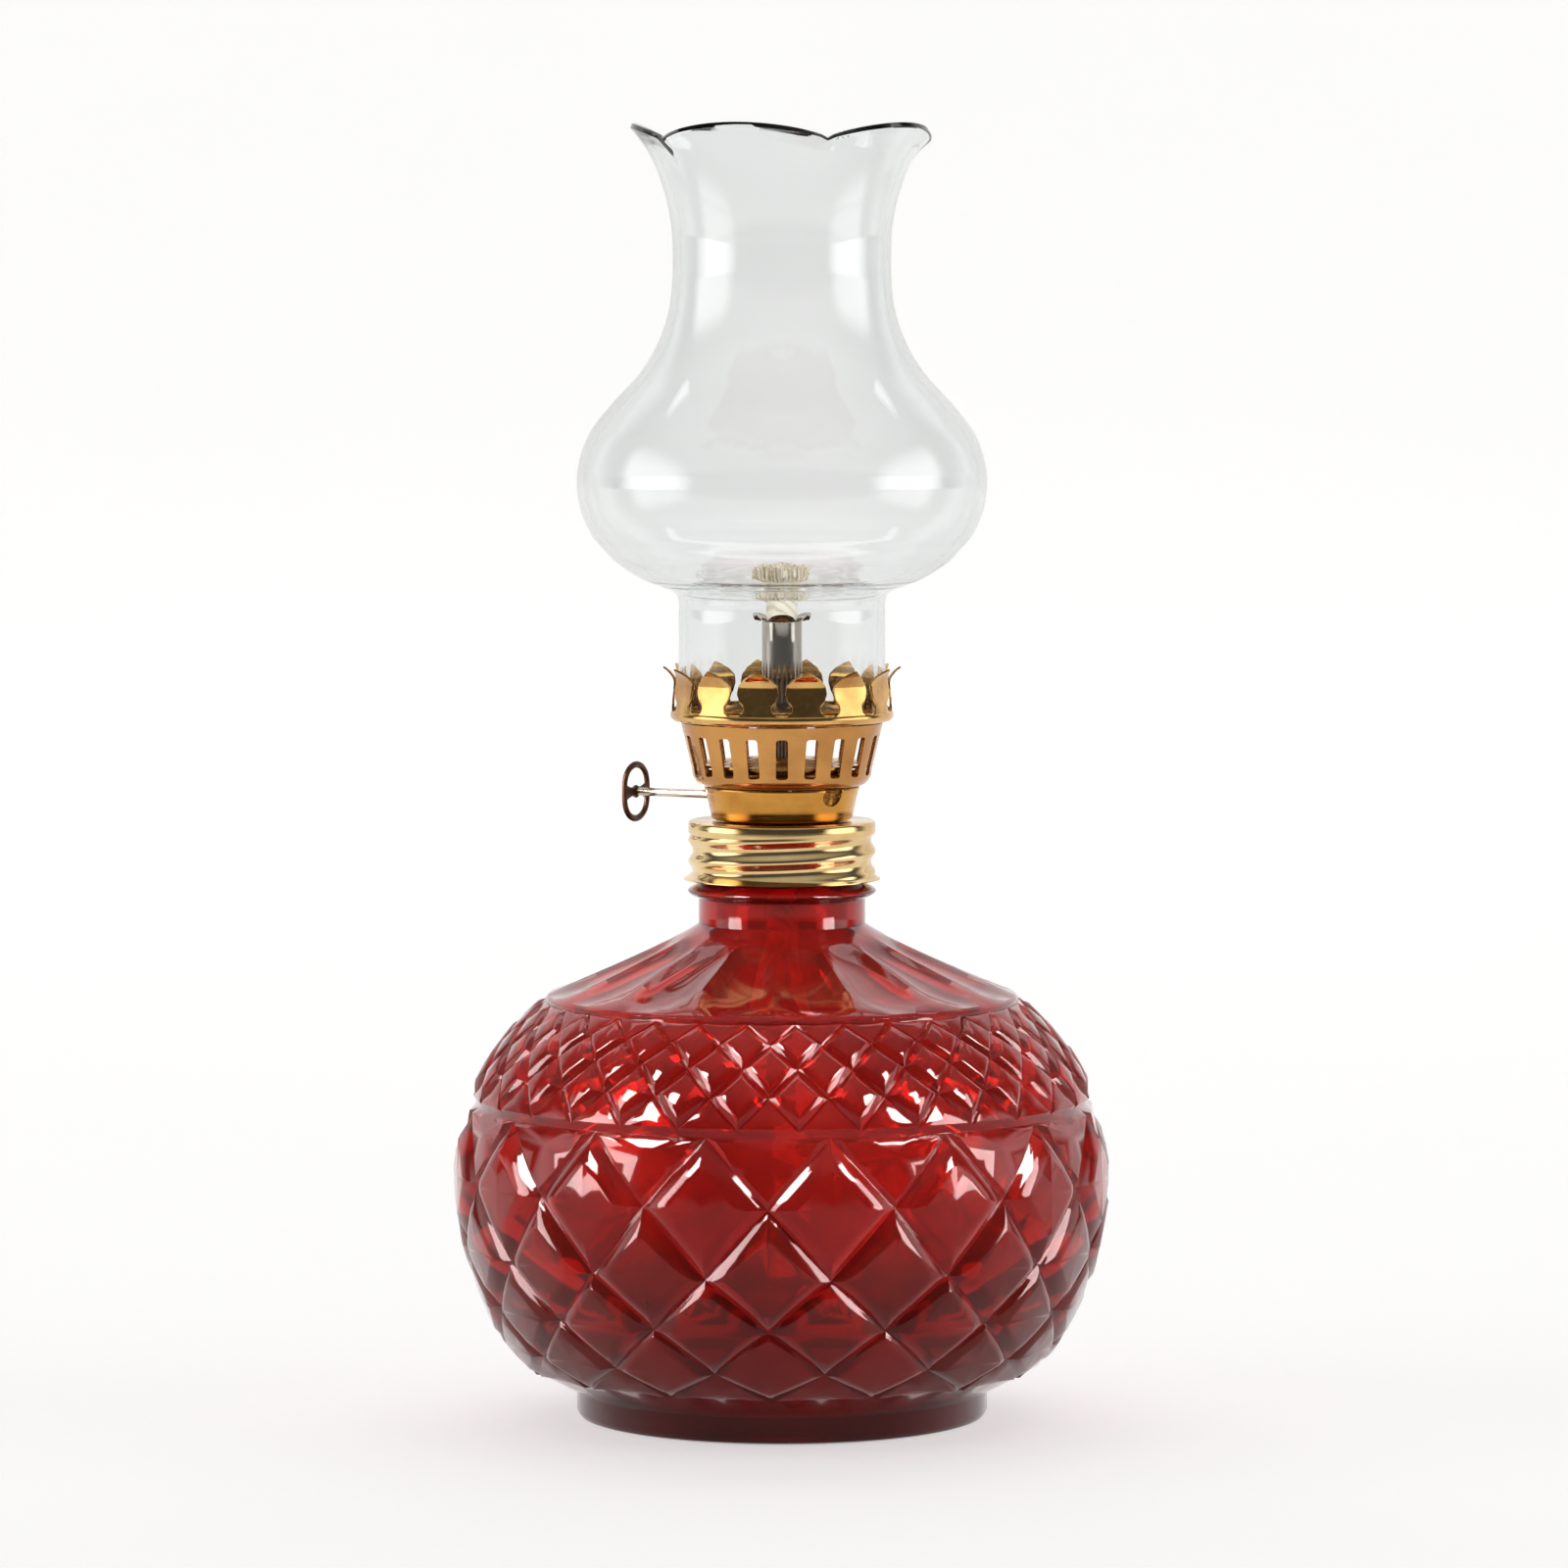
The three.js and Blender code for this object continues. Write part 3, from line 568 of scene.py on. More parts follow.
def raiseDiamonds(rows, parts, shift, lifts, dome):
    # draws the grooves, joins what lies between them into diamonds, then lifts each one in steps, as a pillow.
    # lifts holds (border, rise) pairs and dome is the last rise, all as shares of the diamond's height
    across = 2 * parts
    last = (len(rows) - 1) * parts

    def onGroove(vert):
        where = rowAndColumn(vert, rows, parts)
        if where is None:
            return False
        row, column = where[0], where[1] - shift
        return (column + row) % across == 0 or (column - row) % across == 0

    def insideDiamond(edge):
        start, end = (rowAndColumn(vert, rows, parts) for vert in edge.verts)
        if start is None or end is None:
            return False
        if start[0] == end[0]:
            return 0 < start[0] < last
        return start[1] == end[1]

    pick("VERT", onGroove)
    bpy.ops.mesh.vert_connect()
    pick("EDGE", insideDiamond)
    bpy.ops.mesh.dissolve_edges(use_verts=False)
    low, high = min(rows), max(rows)
    for centre, middle in enumerate(rows):
        half = centre in (0, len(rows) - 1)
        size = abs(rows[max(0, centre - 1)] - rows[min(len(rows) - 1, centre + 1)]) / (1.0 if half else 2.0)
        reach = size * 0.45

        def isDiamond(face):
            height = face.calc_center_median().z / mm
            inside = len(face.verts) > 6 and not face.hide and low < height < high
            return inside and abs(height - middle) < reach

        count = pick("FACE", isDiamond)
        for border, rise in [(font["halfBorder"], lifts[0][1])] if half else lifts:
            bpy.ops.mesh.inset(thickness=border * size * mm, depth=rise * size * mm, use_individual=True)
        bpy.ops.mesh.face_make_planar(factor=1.0, repeat=2)
        bpy.ops.mesh.poke(offset=dome * size * mm, center_mode="MEDIAN")
        bpy.ops.mesh.hide()
        print("  row", round(middle, 1), "diamonds", count)
    bpy.ops.mesh.reveal(select=False)


def makeFont():
    piece = turned("glassFont", fontOutline(), font["spokes"], font["turn"])
    edit(piece)
    raiseDiamonds(font["largeRows"], 4, 4, font["largeLifts"], font["largeDome"])
    raiseDiamonds(font["smallRows"], 2, 2, font["smallLifts"], font["smallDome"])
    bpy.ops.object.mode_set(mode="OBJECT")
    bottom, top = font["shoulder"] + 0.4, font["fluteTop"]

    def change(radius, height, angle):
        # the neck's thread, and the flutes pressed into the shoulder, each rounded off at its ends
        if thread["low"] + 0.1 < height < thread["high"] - 0.1 and radius > thread["core"] - 0.5:
            return radius + thread["depth"] * threadWave(angle, height), height
        if bottom < height < top and radius > font["neckRadius"] + 0.8:
            share = (height - bottom) / (top - bottom)
            across = 2 * abs(((angle - font["turn"]) / math.tau * font["flutes"]) % 1.0 - 0.5)
            start = 0.02 + 0.2 * across ** 2
            ends = min(1.0, max(0.0, (share - start) / 0.12), (1.0 - share) / 0.2)
            return radius, height - font["fluteDepth"] * (1 - across ** 2) ** 0.8 * math.sqrt(max(0.0, ends))
        return radius, height

    reshape(piece, change, isOuter)
    softenEdges(piece, font["edgeRound"], 38)
    smooth(piece, 50)
    finishPiece(piece, "font", rubyGlass, "font")


makeFont()
print("font made")


# ---- chimney ----

chimney = {
    "wall": 1.5, "steps": 160,
    "outline": [
        (20.0, 136.4), (20.0, 142.0), (20.0, 150.0), (20.0, 156.0), (20.0, 158.3), (20.5, 160.0),
        (22.2, 161.1), (24.6, 162.0), (27.6, 163.3), (31.8, 166.0), (34.7, 168.9), (37.0, 171.8),
        (38.9, 176.0), (39.7, 181.0), (39.2, 186.0), (37.0, 191.6), (32.6, 197.2), (27.4, 202.9),
        (24.0, 208.6), (22.0, 214.3), (21.2, 220.0), (21.1, 226.0), (21.4, 231.5), (22.5, 237.0),
        (24.4, 242.5), (26.2, 246.0), (28.0, 248.4), (29.3, 250.0)],
    "scallops": 5, "scallopDepth": 2.6, "scallopPull": 0.6, "scallopTurn": math.radians(18), "rimHeight": 9.0,
}


def makeChimney():
    outer = curveThrough(chimney["outline"], 4)
    inner = offsetInwards(outer, chimney["wall"])
    top = max(h for r, h in outer)
    lip = ((outer[-1][0] + inner[-1][0]) / 2 + 0.25, (outer[-1][1] + inner[-1][1]) / 2 + 0.45)
    foot = ((outer[0][0] + inner[0][0]) / 2, outer[0][1] - 0.1)
    piece = turned("glassChimney", [*outer, lip, *reversed(inner), foot, outer[0]], chimney["steps"])
    low = top - chimney["rimHeight"]

    def change(radius, height, angle):
        # the mouth dips and draws in a little between its petals
        share = max(0.0, (height - low) / chimney["rimHeight"])
        notch = 1 - abs(math.sin((angle - chimney["scallopTurn"]) * chimney["scallops"] / 2)) ** 0.7
        newRadius = radius - chimney["scallopPull"] * notch * share ** 2
        return newRadius, height - chimney["scallopDepth"] * notch * share ** 1.5

    reshape(piece, change)
    smooth(piece, 60)
    piece.visible_shadow = False  # so that the glass doesn't darken the brass and the wick
    finishPiece(piece, "chimney", clearGlass, "chimney")


makeChimney()
print("chimney made")


# ---- collar, cup, gallery, sieve and crown ----

collar = {
    "sheet": 0.5, "clearance": 1.35, "wave": 0.85, "flare": 0.9, "flareHeight": 1.5, "lift": 1.0, "band": 2.3,
    "hole": 11.5, "steps": 144,
}


def makeCollar():
    low, high = boxOf("screw_collar")
    bottom, top = low[2] + collar["lift"], high[2]
    sheet, hole = collar["sheet"], collar["hole"]
    inner = thread["core"] + collar["clearance"]
    crest = inner + collar["wave"] + sheet
    bandLow = top - collar["band"]
    rows = spread(bottom, bandLow - 0.3, 36)
    outer = [(inner + sheet, h) for h in rows]
    outer += [(crest - 0.05, bandLow), (crest, bandLow + 0.3), (crest, top - 0.55), (crest - 0.15, top - 0.2)]
    lid = [(crest - 0.5, top), (hole + 0.1, top), (hole, top - 0.25), (hole + 0.1, top - sheet)]
    inside = [(crest - sheet - 0.4, top - sheet), (crest - sheet, top - 0.9), (crest - sheet, bandLow)]
    inside += [(inner, h) for h in reversed(rows)]
    edge = (inner + 0.25, bottom - 0.15)
    piece = turned("screwCollar", [*outer, *lid, *inside, edge, outer[0]], collar["steps"])

    def change(radius, height, angle):
        # the rolled thread, which opens into a flare at the bottom edge
        if height > rows[-1] + 0.01:
            return radius, height
        flare = max(0.0, 1 - (height - bottom) / collar["flareHeight"]) ** 1.5
        wave = collar["wave"] * threadWave(angle, height) ** 1.25
        return radius + max(wave, flare * (collar["wave"] + collar["flare"])), height

    reshape(piece, change)
    smooth(piece, 50)
    finishPiece(piece, "burner", rolledBrass, "screw_collar")


def spindleFrame():
    # where the star wheel sits on the spindle, and the way from there out to the knob
    joint = next(j for j in frame["joints"] if j["name"] == "knob_turn")
    start = Vector(joint["pos_m"])
    outwards = -Vector(joint["axis"]).normalized()
    return start, outwards


spindleStart, spindleWay = spindleFrame()


def onSpindle(distance):
    # a matrix whose local Z runs along the spindle, at a distance from the star wheel
    spot = spindleStart + spindleWay * distance * mm
    return Matrix.Translation(spot) @ spindleWay.to_track_quat("Z", "Y").to_matrix().to_4x4()


def rod(radius, start, end, sides=24):
    clearSelection()
    bpy.ops.mesh.primitive_cylinder_add(vertices=sides, radius=radius * mm, depth=(end - start) * mm)
    piece = bpy.context.object
    piece.data.transform(onSpindle((start + end) / 2))
    return piece


cup = {
    "sheet": 0.5, "taper": 1.3, "bore": 4.2, "hole": 2.2, "holeRise": 0.7, "spindleHole": 1.05,
    "edgeRound": 0.12, "steps": 128,
}


def makeCup():
    low, high = boxOf("burner_cup")
    bottom, top = low[2], high[2]
    lip = high[0]
    foot = lip - cup["taper"]
    bend, sheet = bottom + 0.6, cup["sheet"]
    outer = [(cup["bore"], bottom), (foot - 0.6, bottom), (foot - 0.15, bottom + 0.15), (foot, bend)]
    outer += [(foot + (lip - foot) * t, bend + (top - bend) * t) for t in (0.3, 0.6, 0.85)]
    outer += [(lip + 0.05, top - 0.3), (lip, top)]
    inner = [(r - sheet if r > cup["bore"] else r, h + (sheet if h < bottom + 1 else 0))
             for r, h in outer[:-1]]
    piece = turned("burnerCup", [*outer, (lip - sheet, top), *reversed(inner), outer[0]], cup["steps"])
    # both cutters run from inside the cup to well outside it, one towards the knob and one away from it
    inside, outside = 6, 20
    cut(piece, rod(cup["spindleHole"], inside, outside))
    opening = rod(cup["hole"], -outside, -inside, 40)
    opening.data.transform(Matrix.Translation((0, 0, cup["holeRise"] * mm)))
    cut(piece, opening)
    softenEdges(piece, cup["edgeRound"])
    smooth(piece, 40)
    finishPiece(piece, "burner", lacqueredBrass, "burner_cup")


gallery = {
    "sheet": 0.5, "taper": 2.1, "bend": 0.28, "slots": 20, "slotWidth": 2.3, "slotHeight": 7.7,
    "slotCorner": 0.6, "slotDrop": 2.3, "cutFrom": 8.0, "cutTo": 24.0, "edgeRound": 0.1, "steps": 160,
}


def slotCutter(centre):
    # a bar with rounded corners, lying along -Y through the front of the gallery
    start, end = gallery["cutFrom"], gallery["cutTo"]
    size = (gallery["slotWidth"] * mm, (end - start) * mm, gallery["slotHeight"] * mm, 1.0)
    clearSelection()
    bpy.ops.mesh.primitive_cube_add(size=1.0, location=(0, 0, 0))
    piece = bpy.context.object
    piece.data.transform(Matrix.Diagonal(size))
    edit(piece)
    pick("EDGE", lambda e: abs((e.verts[0].co - e.verts[1].co).normalized().y) > 0.9)
    bpy.ops.mesh.bevel(offset=gallery["slotCorner"] * mm, segments=5, affect="EDGES")
    bpy.ops.object.mode_set(mode="OBJECT")
    piece.data.transform(Matrix.Translation((0, -(start + end) / 2 * mm, centre * mm)))
    return piece


def makeGallery():
    low, high = boxOf("air_gallery")
    bottom, top, wide = low[2], high[2], high[0]
    neck = wide - gallery["taper"]
    lip = boxOf("burner_cup")[1][0] + 0.1
    bend = bottom + (top - bottom) * gallery["bend"]
    # a quarter round from the cup's lip, then a straight taper up to the crown
    turns = [share * math.pi / 2 for share in (0.0, 0.15, 0.3, 0.45, 0.6, 0.8, 1.0)]
    outer = [(lip + (neck - lip) * math.sin(a), bend - (bend - bottom) * math.cos(a)) for a in turns]
    outer += [(neck + (wide - neck) * t, bend + (top - bend) * t) for t in (0.25, 0.5, 0.75, 0.97, 1.0)]
    inner = offsetInwards(outer, gallery["sheet"])
    inner[0] = (outer[0][0] - gallery["sheet"], bottom)
    inner[-1] = (outer[-1][0] - gallery["sheet"], top)
    piece = turned("airGallery", [*outer, *reversed(inner), outer[0]], gallery["steps"])
    centre = top - gallery["slotDrop"] - gallery["slotHeight"] / 2
    cut(piece, join("slots", around(slotCutter(centre), gallery["slots"])))
    softenEdges(piece, gallery["edgeRound"])
    smooth(piece, 40)
    finishPiece(piece, "burner", heatedBrass, "air_gallery")


sieve = {
    "sheet": 0.5, "rise": 1.2, "bore": 4.2, "rings": [(0.2, 10), (0.42, 16), (0.64, 22), (0.85, 28)],
    "drill": 0.75, "drillLength": 8.0, "steps": 96,
}


def makeSieve():
    low, high = boxOf("air_sieve")
    sheet, bore = sieve["sheet"], sieve["bore"]
    rim, wide = low[2] + sheet, high[0]
    top = rim + sieve["rise"]
    outline = [(bore, top - sheet), (bore + 1, top - sheet), (wide - 1, rim - sheet), (wide, rim - sheet),
               (wide, rim), (wide - 0.8, rim), (bore + 1.2, top), (bore, top), (bore, top - sheet)]
    piece = turned("airSieve", outline, sieve["steps"])
    drills = []
    for share, count in sieve["rings"]:
        clearSelection()
        bpy.ops.mesh.primitive_cylinder_add(vertices=12, radius=sieve["drill"] * mm,
                                            depth=sieve["drillLength"] * mm)
        drill = bpy.context.object
        drill.data.transform(Matrix.Translation((0, -(bore + share * (wide - bore)) * mm, rim * mm)))
        drills += around(drill, count)
    cut(piece, join("drills", drills))
    smooth(piece, 40)
    finishPiece(piece, "burner", lacqueredBrass, "air_sieve")


crown = {
    "sheet": 0.5, "gap": 0.45, "bead": 1.25, "prongs": 14, "rootHeight": 1.7, "height": 9.4, "width": 7.9,
    "curl": 2.3, "curlFrom": 0.6, "lean": 0.6, "leanTo": 0.62, "dish": 0.35, "prongSheet": 0.4,
    "edgeRound": 0.12,
    "outline": [(0.0, 1.15), (0.1, 0.74), (0.2, 0.66), (0.36, 0.9), (0.5, 1.0), (0.64, 0.95), (0.78, 0.7),
                (0.9, 0.34), (1.0, 0.03)],
}


def prongWidth(share):
    # half the prong's width up its height: a wide root, a narrow neck, a round body and a pointed tip
    marks = crown["outline"]
    for (low, start), (high, end) in zip(marks, marks[1:]):
        if share <= high:
            t = (share - low) / (high - low)
            return crown["width"] / 2 * (start + (end - start) * t * t * (3 - 2 * t))
    return crown["width"] / 2 * marks[-1][1]


def makeProng(foot, inner):
    clearSelection()
    bpy.ops.mesh.primitive_grid_add(x_subdivisions=10, y_subdivisions=22, size=1.0, location=(0, 0, 0))
    piece = bpy.context.object
    for vert in piece.data.vertices:
        share = vert.co.y + 0.5
        across = vert.co.x * 2 * prongWidth(share)
        # the tip curls out, the root leans out, and the sides turn out a little
        curled = max(0.0, (share - crown["curlFrom"]) / (1 - crown["curlFrom"]))
        out = crown["curl"] * curled ** 1.9 + crown["lean"] * max(0.0, 1 - share / crown["leanTo"])
        dish = crown["dish"] * (across / crown["width"] * 2) ** 2 * min(1.0, share * 3)
        radius = inner + crown["sheet"] / 2 + out + dish
        angle = across / inner
        height = foot + share * crown["height"] - 0.3 * out
        vert.co = (radius * math.sin(angle) * mm, -radius * math.cos(angle) * mm, height * mm)
    useModifier(piece, "SOLIDIFY", thickness=crown["prongSheet"] * mm, offset=0.0)
    softenEdges(piece, crown["edgeRound"])
    return piece


def makeCrown():
    bottom = boxOf("prong_crown")[0][2]
    floorTop = bottom + crown["sheet"]
    fitter = chimney["outline"][0][0]
    inner = fitter + crown["gap"]
    outer = inner + crown["sheet"]
    bead = inner + crown["bead"]
    hole = boxOf("air_gallery")[1][0] - 2.0
    roll = [(inner + 0.2 + (bead - inner - 0.2) * math.sin(a), bottom + 1.2 - 1.15 * math.cos(a))
            for a in spread(0.0, math.pi, 10)]
    outline = [(hole, bottom), (inner - 0.2, bottom), *roll, (outer, bottom + 2.5),
               (outer - 0.2, bottom + 2.7), (inner, bottom + 2.6), (inner, floorTop + 0.3),
               (inner - 0.3, floorTop), (hole, floorTop), (hole, bottom)]
    ring = turned("crownRing", outline, 168)
    prongs = around(makeProng(bottom + crown["rootHeight"], inner), crown["prongs"], math.pi / crown["prongs"])
    piece = join("prongCrown", [ring, *prongs])
    smooth(piece, 45)
    finishPiece(piece, "burner", polishedBrass, "prong_crown")


makeCollar()
makeCup()
makeGallery()
makeSieve()
makeCrown()
print("brass made")


# ---- wick tube, wick and the raiser ----

tube = {
    "radius": 3.9, "wall": 0.5, "lip": 6.1, "lipHeight": 1.7, "leaves": 6, "leafPull": 0.8, "leafDip": 1.3,
    "slotDepth": 4.0, "slotWidth": 3.4, "slotClear": 1.2, "steps": 72,
}


def makeTube():
    low, high = boxOf("wick_tube")
    bottom, top = low[2], high[2]
    outside = tube["radius"]
    lip = top - tube["lipHeight"]
    flare = [(outside + (tube["lip"] - outside) * t ** 1.8, lip + tube["lipHeight"] * t)
             for t in spread(0.0, 1.0, 6)]
    outer = [(outside, h) for h in spread(bottom, lip, 12)] + flare[1:]
    inner = [(r - tube["wall"], h) for r, h in outer]
    piece = turned("wickTube", [*outer, *reversed(inner), outer[0]], tube["steps"])

    def change(radius, height, angle):
        share = max(0.0, (height - lip) / tube["lipHeight"])
        leaf = abs(math.cos(angle * tube["leaves"] / 2))
        newRadius = radius - tube["leafPull"] * (1 - leaf) * share
        return newRadius, height - tube["leafDip"] * (1 - leaf ** 0.6) * share

    reshape(piece, change)
    # the slot that lets the wheel through to the wick, on the side where the spindle passes
    wheelLow, wheelHigh = boxOf("wick_wheel")
    slotHeight = wheelHigh[2] - wheelLow[2] + tube["slotClear"]
    clearSelection()
    bpy.ops.mesh.primitive_cube_add(size=1.0)
    slot = bpy.context.object
    size = (tube["slotDepth"] * mm, slotHeight * mm, tube["slotWidth"] * mm, 1.0)
    slot.data.transform(Matrix.Diagonal(size))
    side = Vector((spindleStart.x, spindleStart.y, 0)).normalized()
    axes = Matrix((side, Vector((0, 0, 1)), spindleWay)).transposed().to_4x4()
    middle = side * tube["slotDepth"] * mm + Vector((0, 0, spindleStart.z))
    slot.data.transform(Matrix.Translation(middle) @ axes)
    cut(piece, slot)
    smooth(piece, 50)
    finishPiece(piece, "burner", platedSteel, "wick_tube")


wick = {
    "radius": 3.0, "travel": 5.0, "rings": (112.0, 140.0), "strands": 170, "strandRadius": 0.24,
    "rootDepth": 2.0, "path": ((2.7, 0.0), (2.9, 0.56), (4.6, 0.77), (5.7, 1.0)), "scatter": 0.7,
    "sideDip": 1.8, "seed": 7,
}


def makeWick():
    # a plain core and a frayed head, kept slim as far up as the wick can be wound down into the tube
    low, high = boxOf("wick")
    bottom, top = low[2], high[2]
    mouth = boxOf("wick_tube")[1][2]
    slim = mouth + wick["travel"]
    radius = wick["radius"]
    outline = [(0, bottom), (radius, bottom), *[(radius, h) for h in wick["rings"]]]
    outline += [(radius + 0.05, slim - 1), (radius - 0.2, slim + 1.2), (1.8, slim + 2.6), (0, slim + 3.2)]
    core = turned("wickCore", outline, 32)
    root = mouth - wick["rootDepth"]
    tip = top - 0.6
    rng = random.Random(wick["seed"])
    goldenShare = 0.618034  # turns each strand on by this share of a circle, which spreads them evenly
    strands = []
    for i in range(wick["strands"]):
        turn = math.tau * (i * goldenShare % 1.0)
        ring = math.sqrt((i + 0.5) / wick["strands"])
        side = Vector((math.sin(turn), -math.cos(turn), 0.0)) * ring
        data = bpy.data.curves.new("strand", "CURVE")
        data.dimensions = "3D"
        data.bevel_depth = wick["strandRadius"] * mm * rng.uniform(0.7, 1.15)
        data.bevel_resolution = 0
        data.resolution_u = 2
        data.use_fill_caps = True
        spline = data.splines.new("BEZIER")
        spline.bezier_points.add(len(wick["path"]) - 1)
        reach = rng.uniform(0.84, 1.0)
        for knot, (out, rise) in zip(spline.bezier_points, wick["path"]):
            scatter = Vector((rng.uniform(-1, 1), rng.uniform(-1, 1), 0.0)) * wick["scatter"] * rise ** 2
            share = rise * reach if rise == 1.0 else rise
            height = root + (tip - root) * share - wick["sideDip"] * ring * rise
            knot.co = (side * out + scatter + Vector((0, 0, height))) * mm
            knot.handle_left_type = "AUTO"
            knot.handle_right_type = "AUTO"
        strand = bpy.data.objects.new("strand", data)
        bpy.context.scene.collection.objects.link(strand)
        strands.append(strand)
    clearSelection()
    for strand in strands:
        strand.select_set(True)
    bpy.context.view_layer.objects.active = strands[0]
    bpy.ops.object.convert(target="MESH")
    piece = join("cottonWick", [core, *bpy.context.selected_objects])
    smooth(piece, 60)
    finishPiece(piece, "wick", cotton, "wick")


spindle = {
    "radius": 0.8, "inside": -3.5, "edgeRound": 0.2, "rivetRadius": 0.62, "rivetLength": 2.0,
    "rivetRound": 0.25,
}
knob = {
    "radius": 5.9, "thickness": 1.0, "rim": 1.3, "reach": 29.6, "pinch": 0.86, "web": 0.8, "webHalf": 0.75,
    "webFlare": 0.9, "webBoss": 0.5, "edgeRound": 0.2,
}


def makeSpindle():
    # the rod stops in the knob, and its thinner end goes through and is riveted over
    shaft = rod(spindle["radius"], spindle["inside"], knob["reach"] - knob["thickness"] / 2 + 0.2, 32)
    softenEdges(shaft, spindle["edgeRound"])
    middle, half = knob["reach"] + 0.4, spindle["rivetLength"] / 2
    rivet = rod(spindle["rivetRadius"], middle - half, middle + half)
    softenEdges(rivet, spindle["rivetRound"], segments=3)
    piece = join("spindleRod", [shaft, rivet])
    smooth(piece, 40)
    finishPiece(piece, "winder", drawnSteel, "spindle")


def makeKnob():
    # a ring pinched at its waist, with a web across it that holds the spindle
    clearSelection()
    radius, rim = knob["radius"], knob["rim"]
    bpy.ops.mesh.primitive_torus_add(major_radius=(radius - rim / 2) * mm, minor_radius=rim / 2 * mm,
                                     major_segments=72, minor_segments=14)
    ring = bpy.context.object
    for vert in ring.data.vertices:
        angle = math.atan2(vert.co.y, vert.co.x)
        pinch = 1 - (1 - knob["pinch"]) * math.cos(angle) ** 6
        vert.co.x *= pinch
        vert.co.y *= pinch
        vert.co.z *= knob["thickness"] / rim
    clearSelection()
    bpy.ops.mesh.primitive_grid_add(x_subdivisions=24, y_subdivisions=8, size=1.0)
    web = bpy.context.object
    reach = radius * knob["pinch"] - rim / 2
    for vert in web.data.vertices:
        share = abs(vert.co.x) * 2
        half = knob["webHalf"] + knob["webFlare"] * share ** 2.4 + knob["webBoss"] * max(0.0, 1 - share / 0.3)
        vert.co = (vert.co.x * 2 * reach * mm, vert.co.y * 2 * half * mm, 0.0)
    useModifier(web, "SOLIDIFY", thickness=knob["web"] * mm, offset=0.0)
    softenEdges(web, knob["edgeRound"])
    piece = join("thumbKnob", [ring, web])
    # local X is level across the knob, local Y is up, local Z runs out along the spindle
    up = Vector((0, 0, 1))
    level = up.cross(spindleWay).normalized()
    axes = Matrix((level, up, level.cross(up))).transposed().to_4x4()
    piece.data.transform(Matrix.Translation(spindleStart + spindleWay * knob["reach"] * mm) @ axes)
    smooth(piece, 50)
    finishPiece(piece, "winder", darkBronze, "thumb_knob")


def dressHidden():
    # the wheel, its bracket and the washer keep their CAD shape and get their own finish
    dress = {"neck_washer": cork, "wheel_bracket": lacqueredBrass, "wick_wheel": drawnSteel}
    for name, material in dress.items():
        node = frame["nodes"][name]
        node.data.materials.clear()
        node.data.materials.append(material)


makeTube()
makeWick()
makeSpindle()
makeKnob()
dressHidden()
print("raiser made")


# ---- studio ----

# in metres, and the room's edges as shares of a direction's length along one axis
studio = {
    "floor": 3.0, "wall": 2.2, "bend": 0.9, "floorColour": "#c6c5c3", "floorShade": "#c3c2c0", "paintedGlow": 0.58,
    "frontFloor": 0.16, "frontEdge": (-1.2, -0.45),
    "behind": 1.15, "front": 0.08, "backEdge": (0.35, 0.7), "above": 0.6, "topEdge": (0.4, 1.0),
    "sides": 2.6, "sideEdge": (0.76, 0.92), "sideTop": (0.62, 0.25), "sideBack": (0.30, 0.10),
    "below": 0.2, "belowEdge": (-0.30, -0.02),
}


def makeStudio():
    clearSelection()
    size = studio["floor"]
    bpy.ops.mesh.primitive_plane_add(size=2 * size, location=(0, 0, 0))
    floor = bpy.context.object
    floor.name = "floor"
    edit(floor)
    pick("EDGE", lambda e: all(v.co.y > size - 0.01 for v in e.verts))
    bpy.ops.mesh.extrude_region_move(TRANSFORM_OT_translate={"value": (0, 0, studio["wall"])})
    pick("EDGE", lambda e: all(v.co.y > size - 0.01 and v.co.z < 0.01 for v in e.verts))
    bpy.ops.mesh.bevel(offset=studio["bend"], segments=12, affect="EDGES")
    bpy.ops.object.mode_set(mode="OBJECT")
    floor.data.transform(Matrix.Translation((0, 0, -0.2 * mm)))
    smooth(floor, 60)
    # matt white paper with a faint mottle; it glows with painted light, most behind the lamp, and is darkened
    # far in front with painted shade
    material, shader = newMaterial("whitePaper", Roughness=0.9)
    shader.inputs["Emission Color"].default_value = (1.0, 1.0, 1.0, 1.0)
    here = place3d(material)
    mottle = addNode(material, "ShaderNodeTexNoise", {"Vector": here}, Scale=3.0, Detail=2.0)
    paper = ramp(material, mottle.outputs["Fac"], (0.3, studio["floorShade"]), (0.7, studio["floorColour"]))
    y = addNode(material, "ShaderNodeSeparateXYZ", {0: here}).outputs[1]
    # painted shade: the paper's colour darkens towards the front
    lit = fade(material, y, studio["frontEdge"], studio["frontFloor"], 1.0)
    shaded = addNode(material, "ShaderNodeVectorMath", {0: paper, "Scale": lit}, operation="SCALE")
    feed(material, shader, "Base Color", shaded.outputs[0])
    # painted light: the paper glows, less so towards the front
    paintedGlow = fade(material, y, studio["frontEdge"], studio["frontFloor"] * studio["paintedGlow"], studio["paintedGlow"])
    feed(material, shader, "Emission Strength", paintedGlow)
    floor.data.materials.append(material)


def softbox(name, spot, size, power, aim=(0, 0, 0.12)):
    data = bpy.data.lights.new(name, "AREA")
    data.shape = "RECTANGLE"
    data.size, data.size_y = size
    data.energy = power
    body = bpy.data.objects.new(name, data)
    bpy.context.scene.collection.objects.link(body)
    body.location = spot
    body.rotation_euler = (Vector(aim) - Vector(spot)).to_track_quat("-Z", "Y").to_euler()
    return body


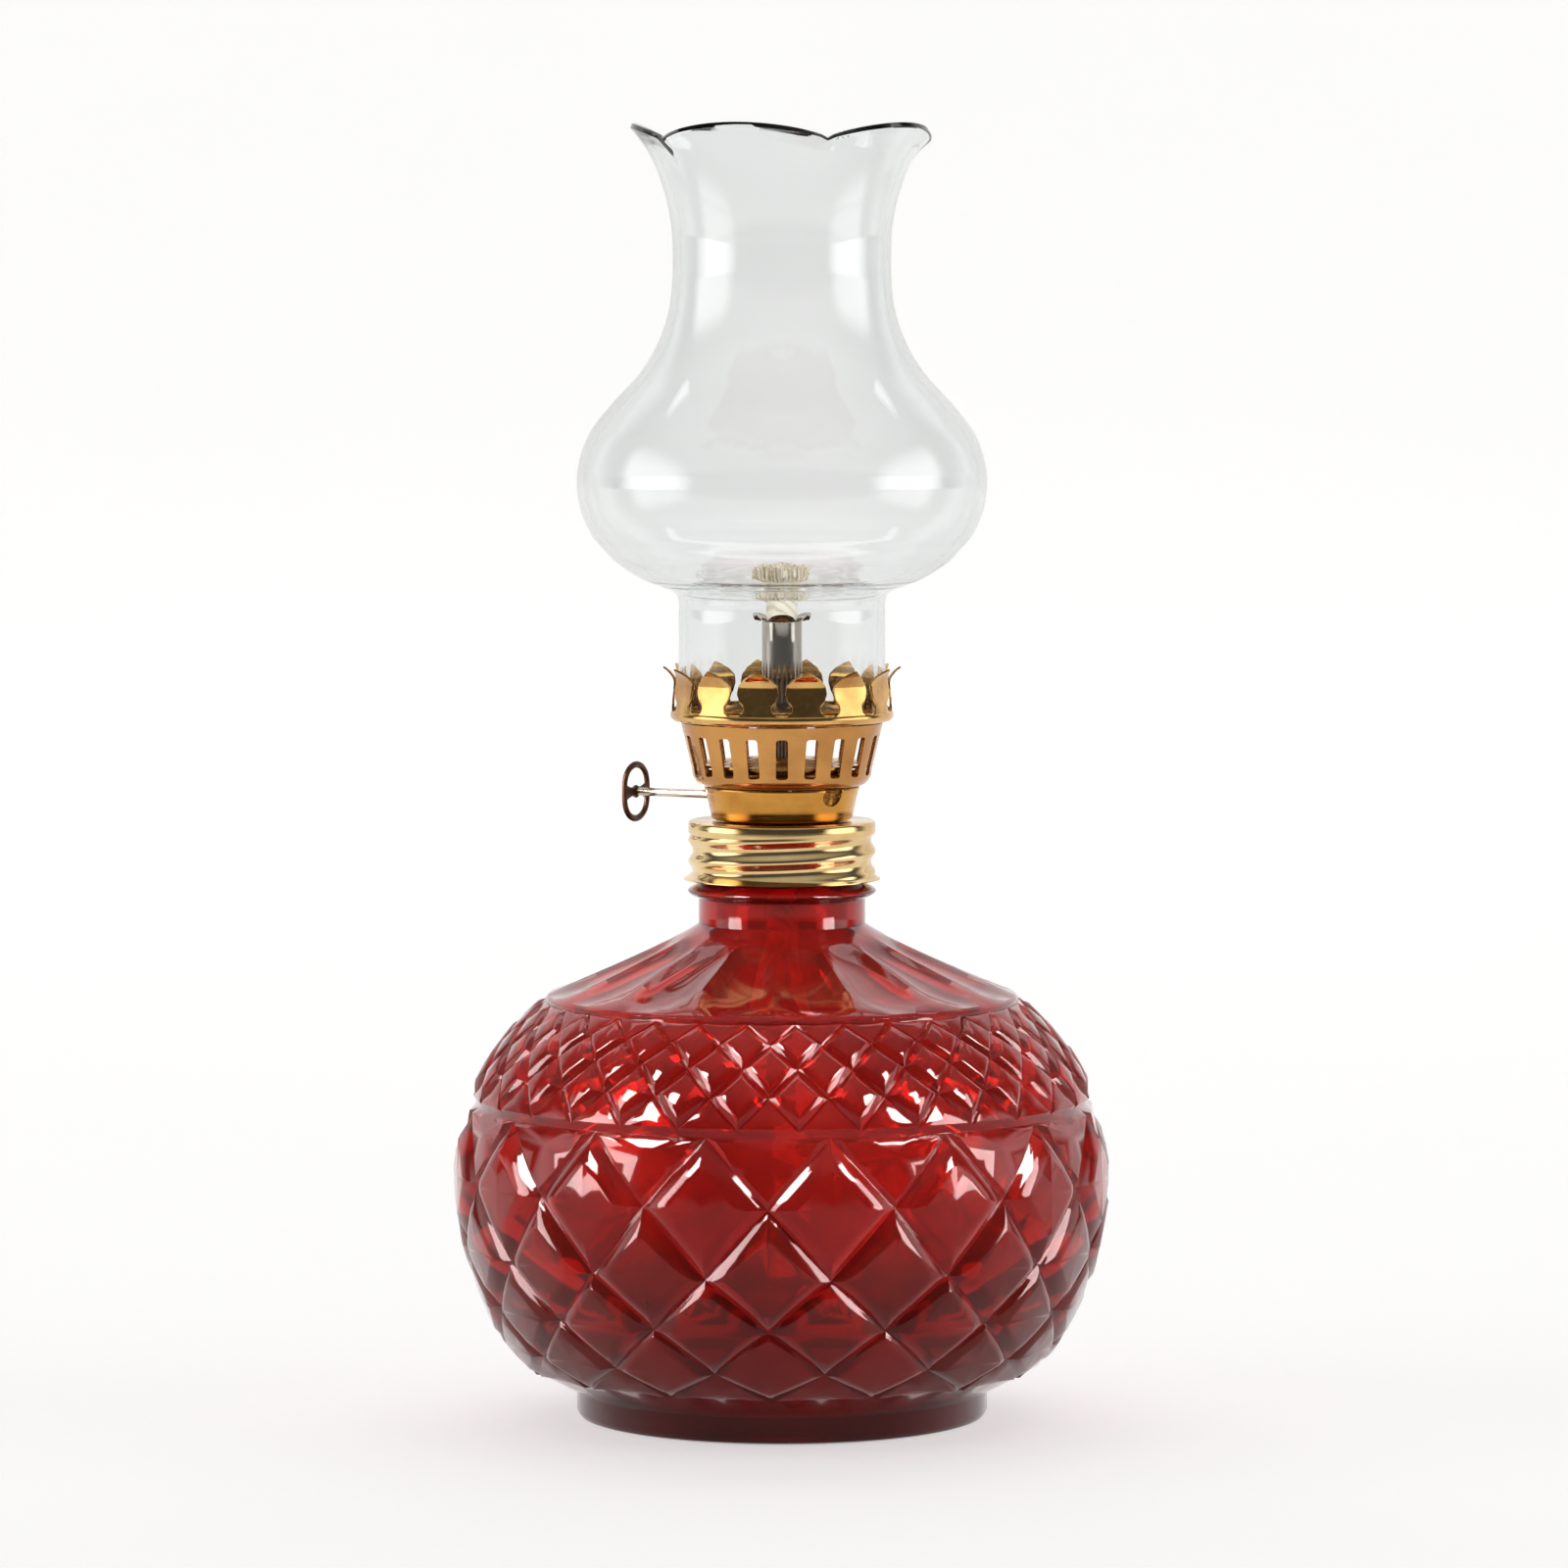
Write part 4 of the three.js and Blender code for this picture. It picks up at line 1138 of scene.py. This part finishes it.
def makeWorld():
    # a bright room behind the lamp, a dim one in front of it and a large soft window on each side
    world = bpy.data.worlds.new("studio")
    world.use_nodes = True
    way = addNode(world, "ShaderNodeTexCoord").outputs["Generated"]
    x, y, z = addNode(world, "ShaderNodeSeparateXYZ", {0: way}).outputs
    room = fade(world, y, studio["backEdge"], studio["front"], studio["behind"])
    room = combine(world, room, fade(world, z, studio["topEdge"], 0.0, studio["above"]), "MAXIMUM")
    aside = addNode(world, "ShaderNodeMath", {0: x}, operation="ABSOLUTE").outputs[0]
    window = fade(world, aside, studio["sideEdge"], 0.0, studio["sides"])
    window = combine(world, window, fade(world, z, studio["sideTop"], 0.0, 1.0), "MULTIPLY")
    window = combine(world, window, fade(world, y, studio["sideBack"], 0.0, 1.0), "MULTIPLY")
    room = combine(world, room, window, "MAXIMUM")
    room = combine(world, room, fade(world, z, studio["belowEdge"], studio["below"], 1.0), "MULTIPLY")
    background = world.node_tree.nodes["Background"]
    world.node_tree.links.new(room, background.inputs["Strength"])
    background.inputs["Color"].default_value = (1.0, 1.0, 1.0, 1.0)
    bpy.context.scene.world = world


# each lamp's place, size and power, in metres and watts
wickLamp = {"wickFill": ((0.2, -1.1, 0.8), (0.8, 0.8), 12)}
glintLamps = {
    "leftStrip": ((-1.1, -0.45, 0.40), (0.45, 0.85), 24),
    "rightStrip": ((1.1, -0.45, 0.40), (0.40, 0.85), 22),
    "highLeft": ((-0.93, -0.58, 0.97), (0.40, 0.45), 34),
    "highRight": ((0.93, -0.60, 0.95), (0.36, 0.45), 30),
}


def lightOnly(lamps, pieceNames):
    # lamps that light these pieces and nothing else
    lit = bpy.data.collections.new("litPieces")
    for name in pieceNames:
        lit.objects.link(bpy.data.objects[name])
    for name, (spot, size, power) in lamps.items():
        softbox(name, spot, size, power).light_linking.receiver_collection = lit


def makeLights():
    # the brass and the chimney see only the soft room, so that their reflections stay calm
    lightOnly(wickLamp, ["cottonWick"])
    lightOnly(glintLamps, ["glassFont", "wickTube", "spindleRod", "thumbKnob"])
    softbox("backdropWash", (0.0, 1.0, 2.2), (3.0, 0.8), 14, (0.0, 2.4, 0.2))
    bpy.context.scene.view_settings.view_transform = "Standard"


makeStudio()
makeWorld()
makeLights()
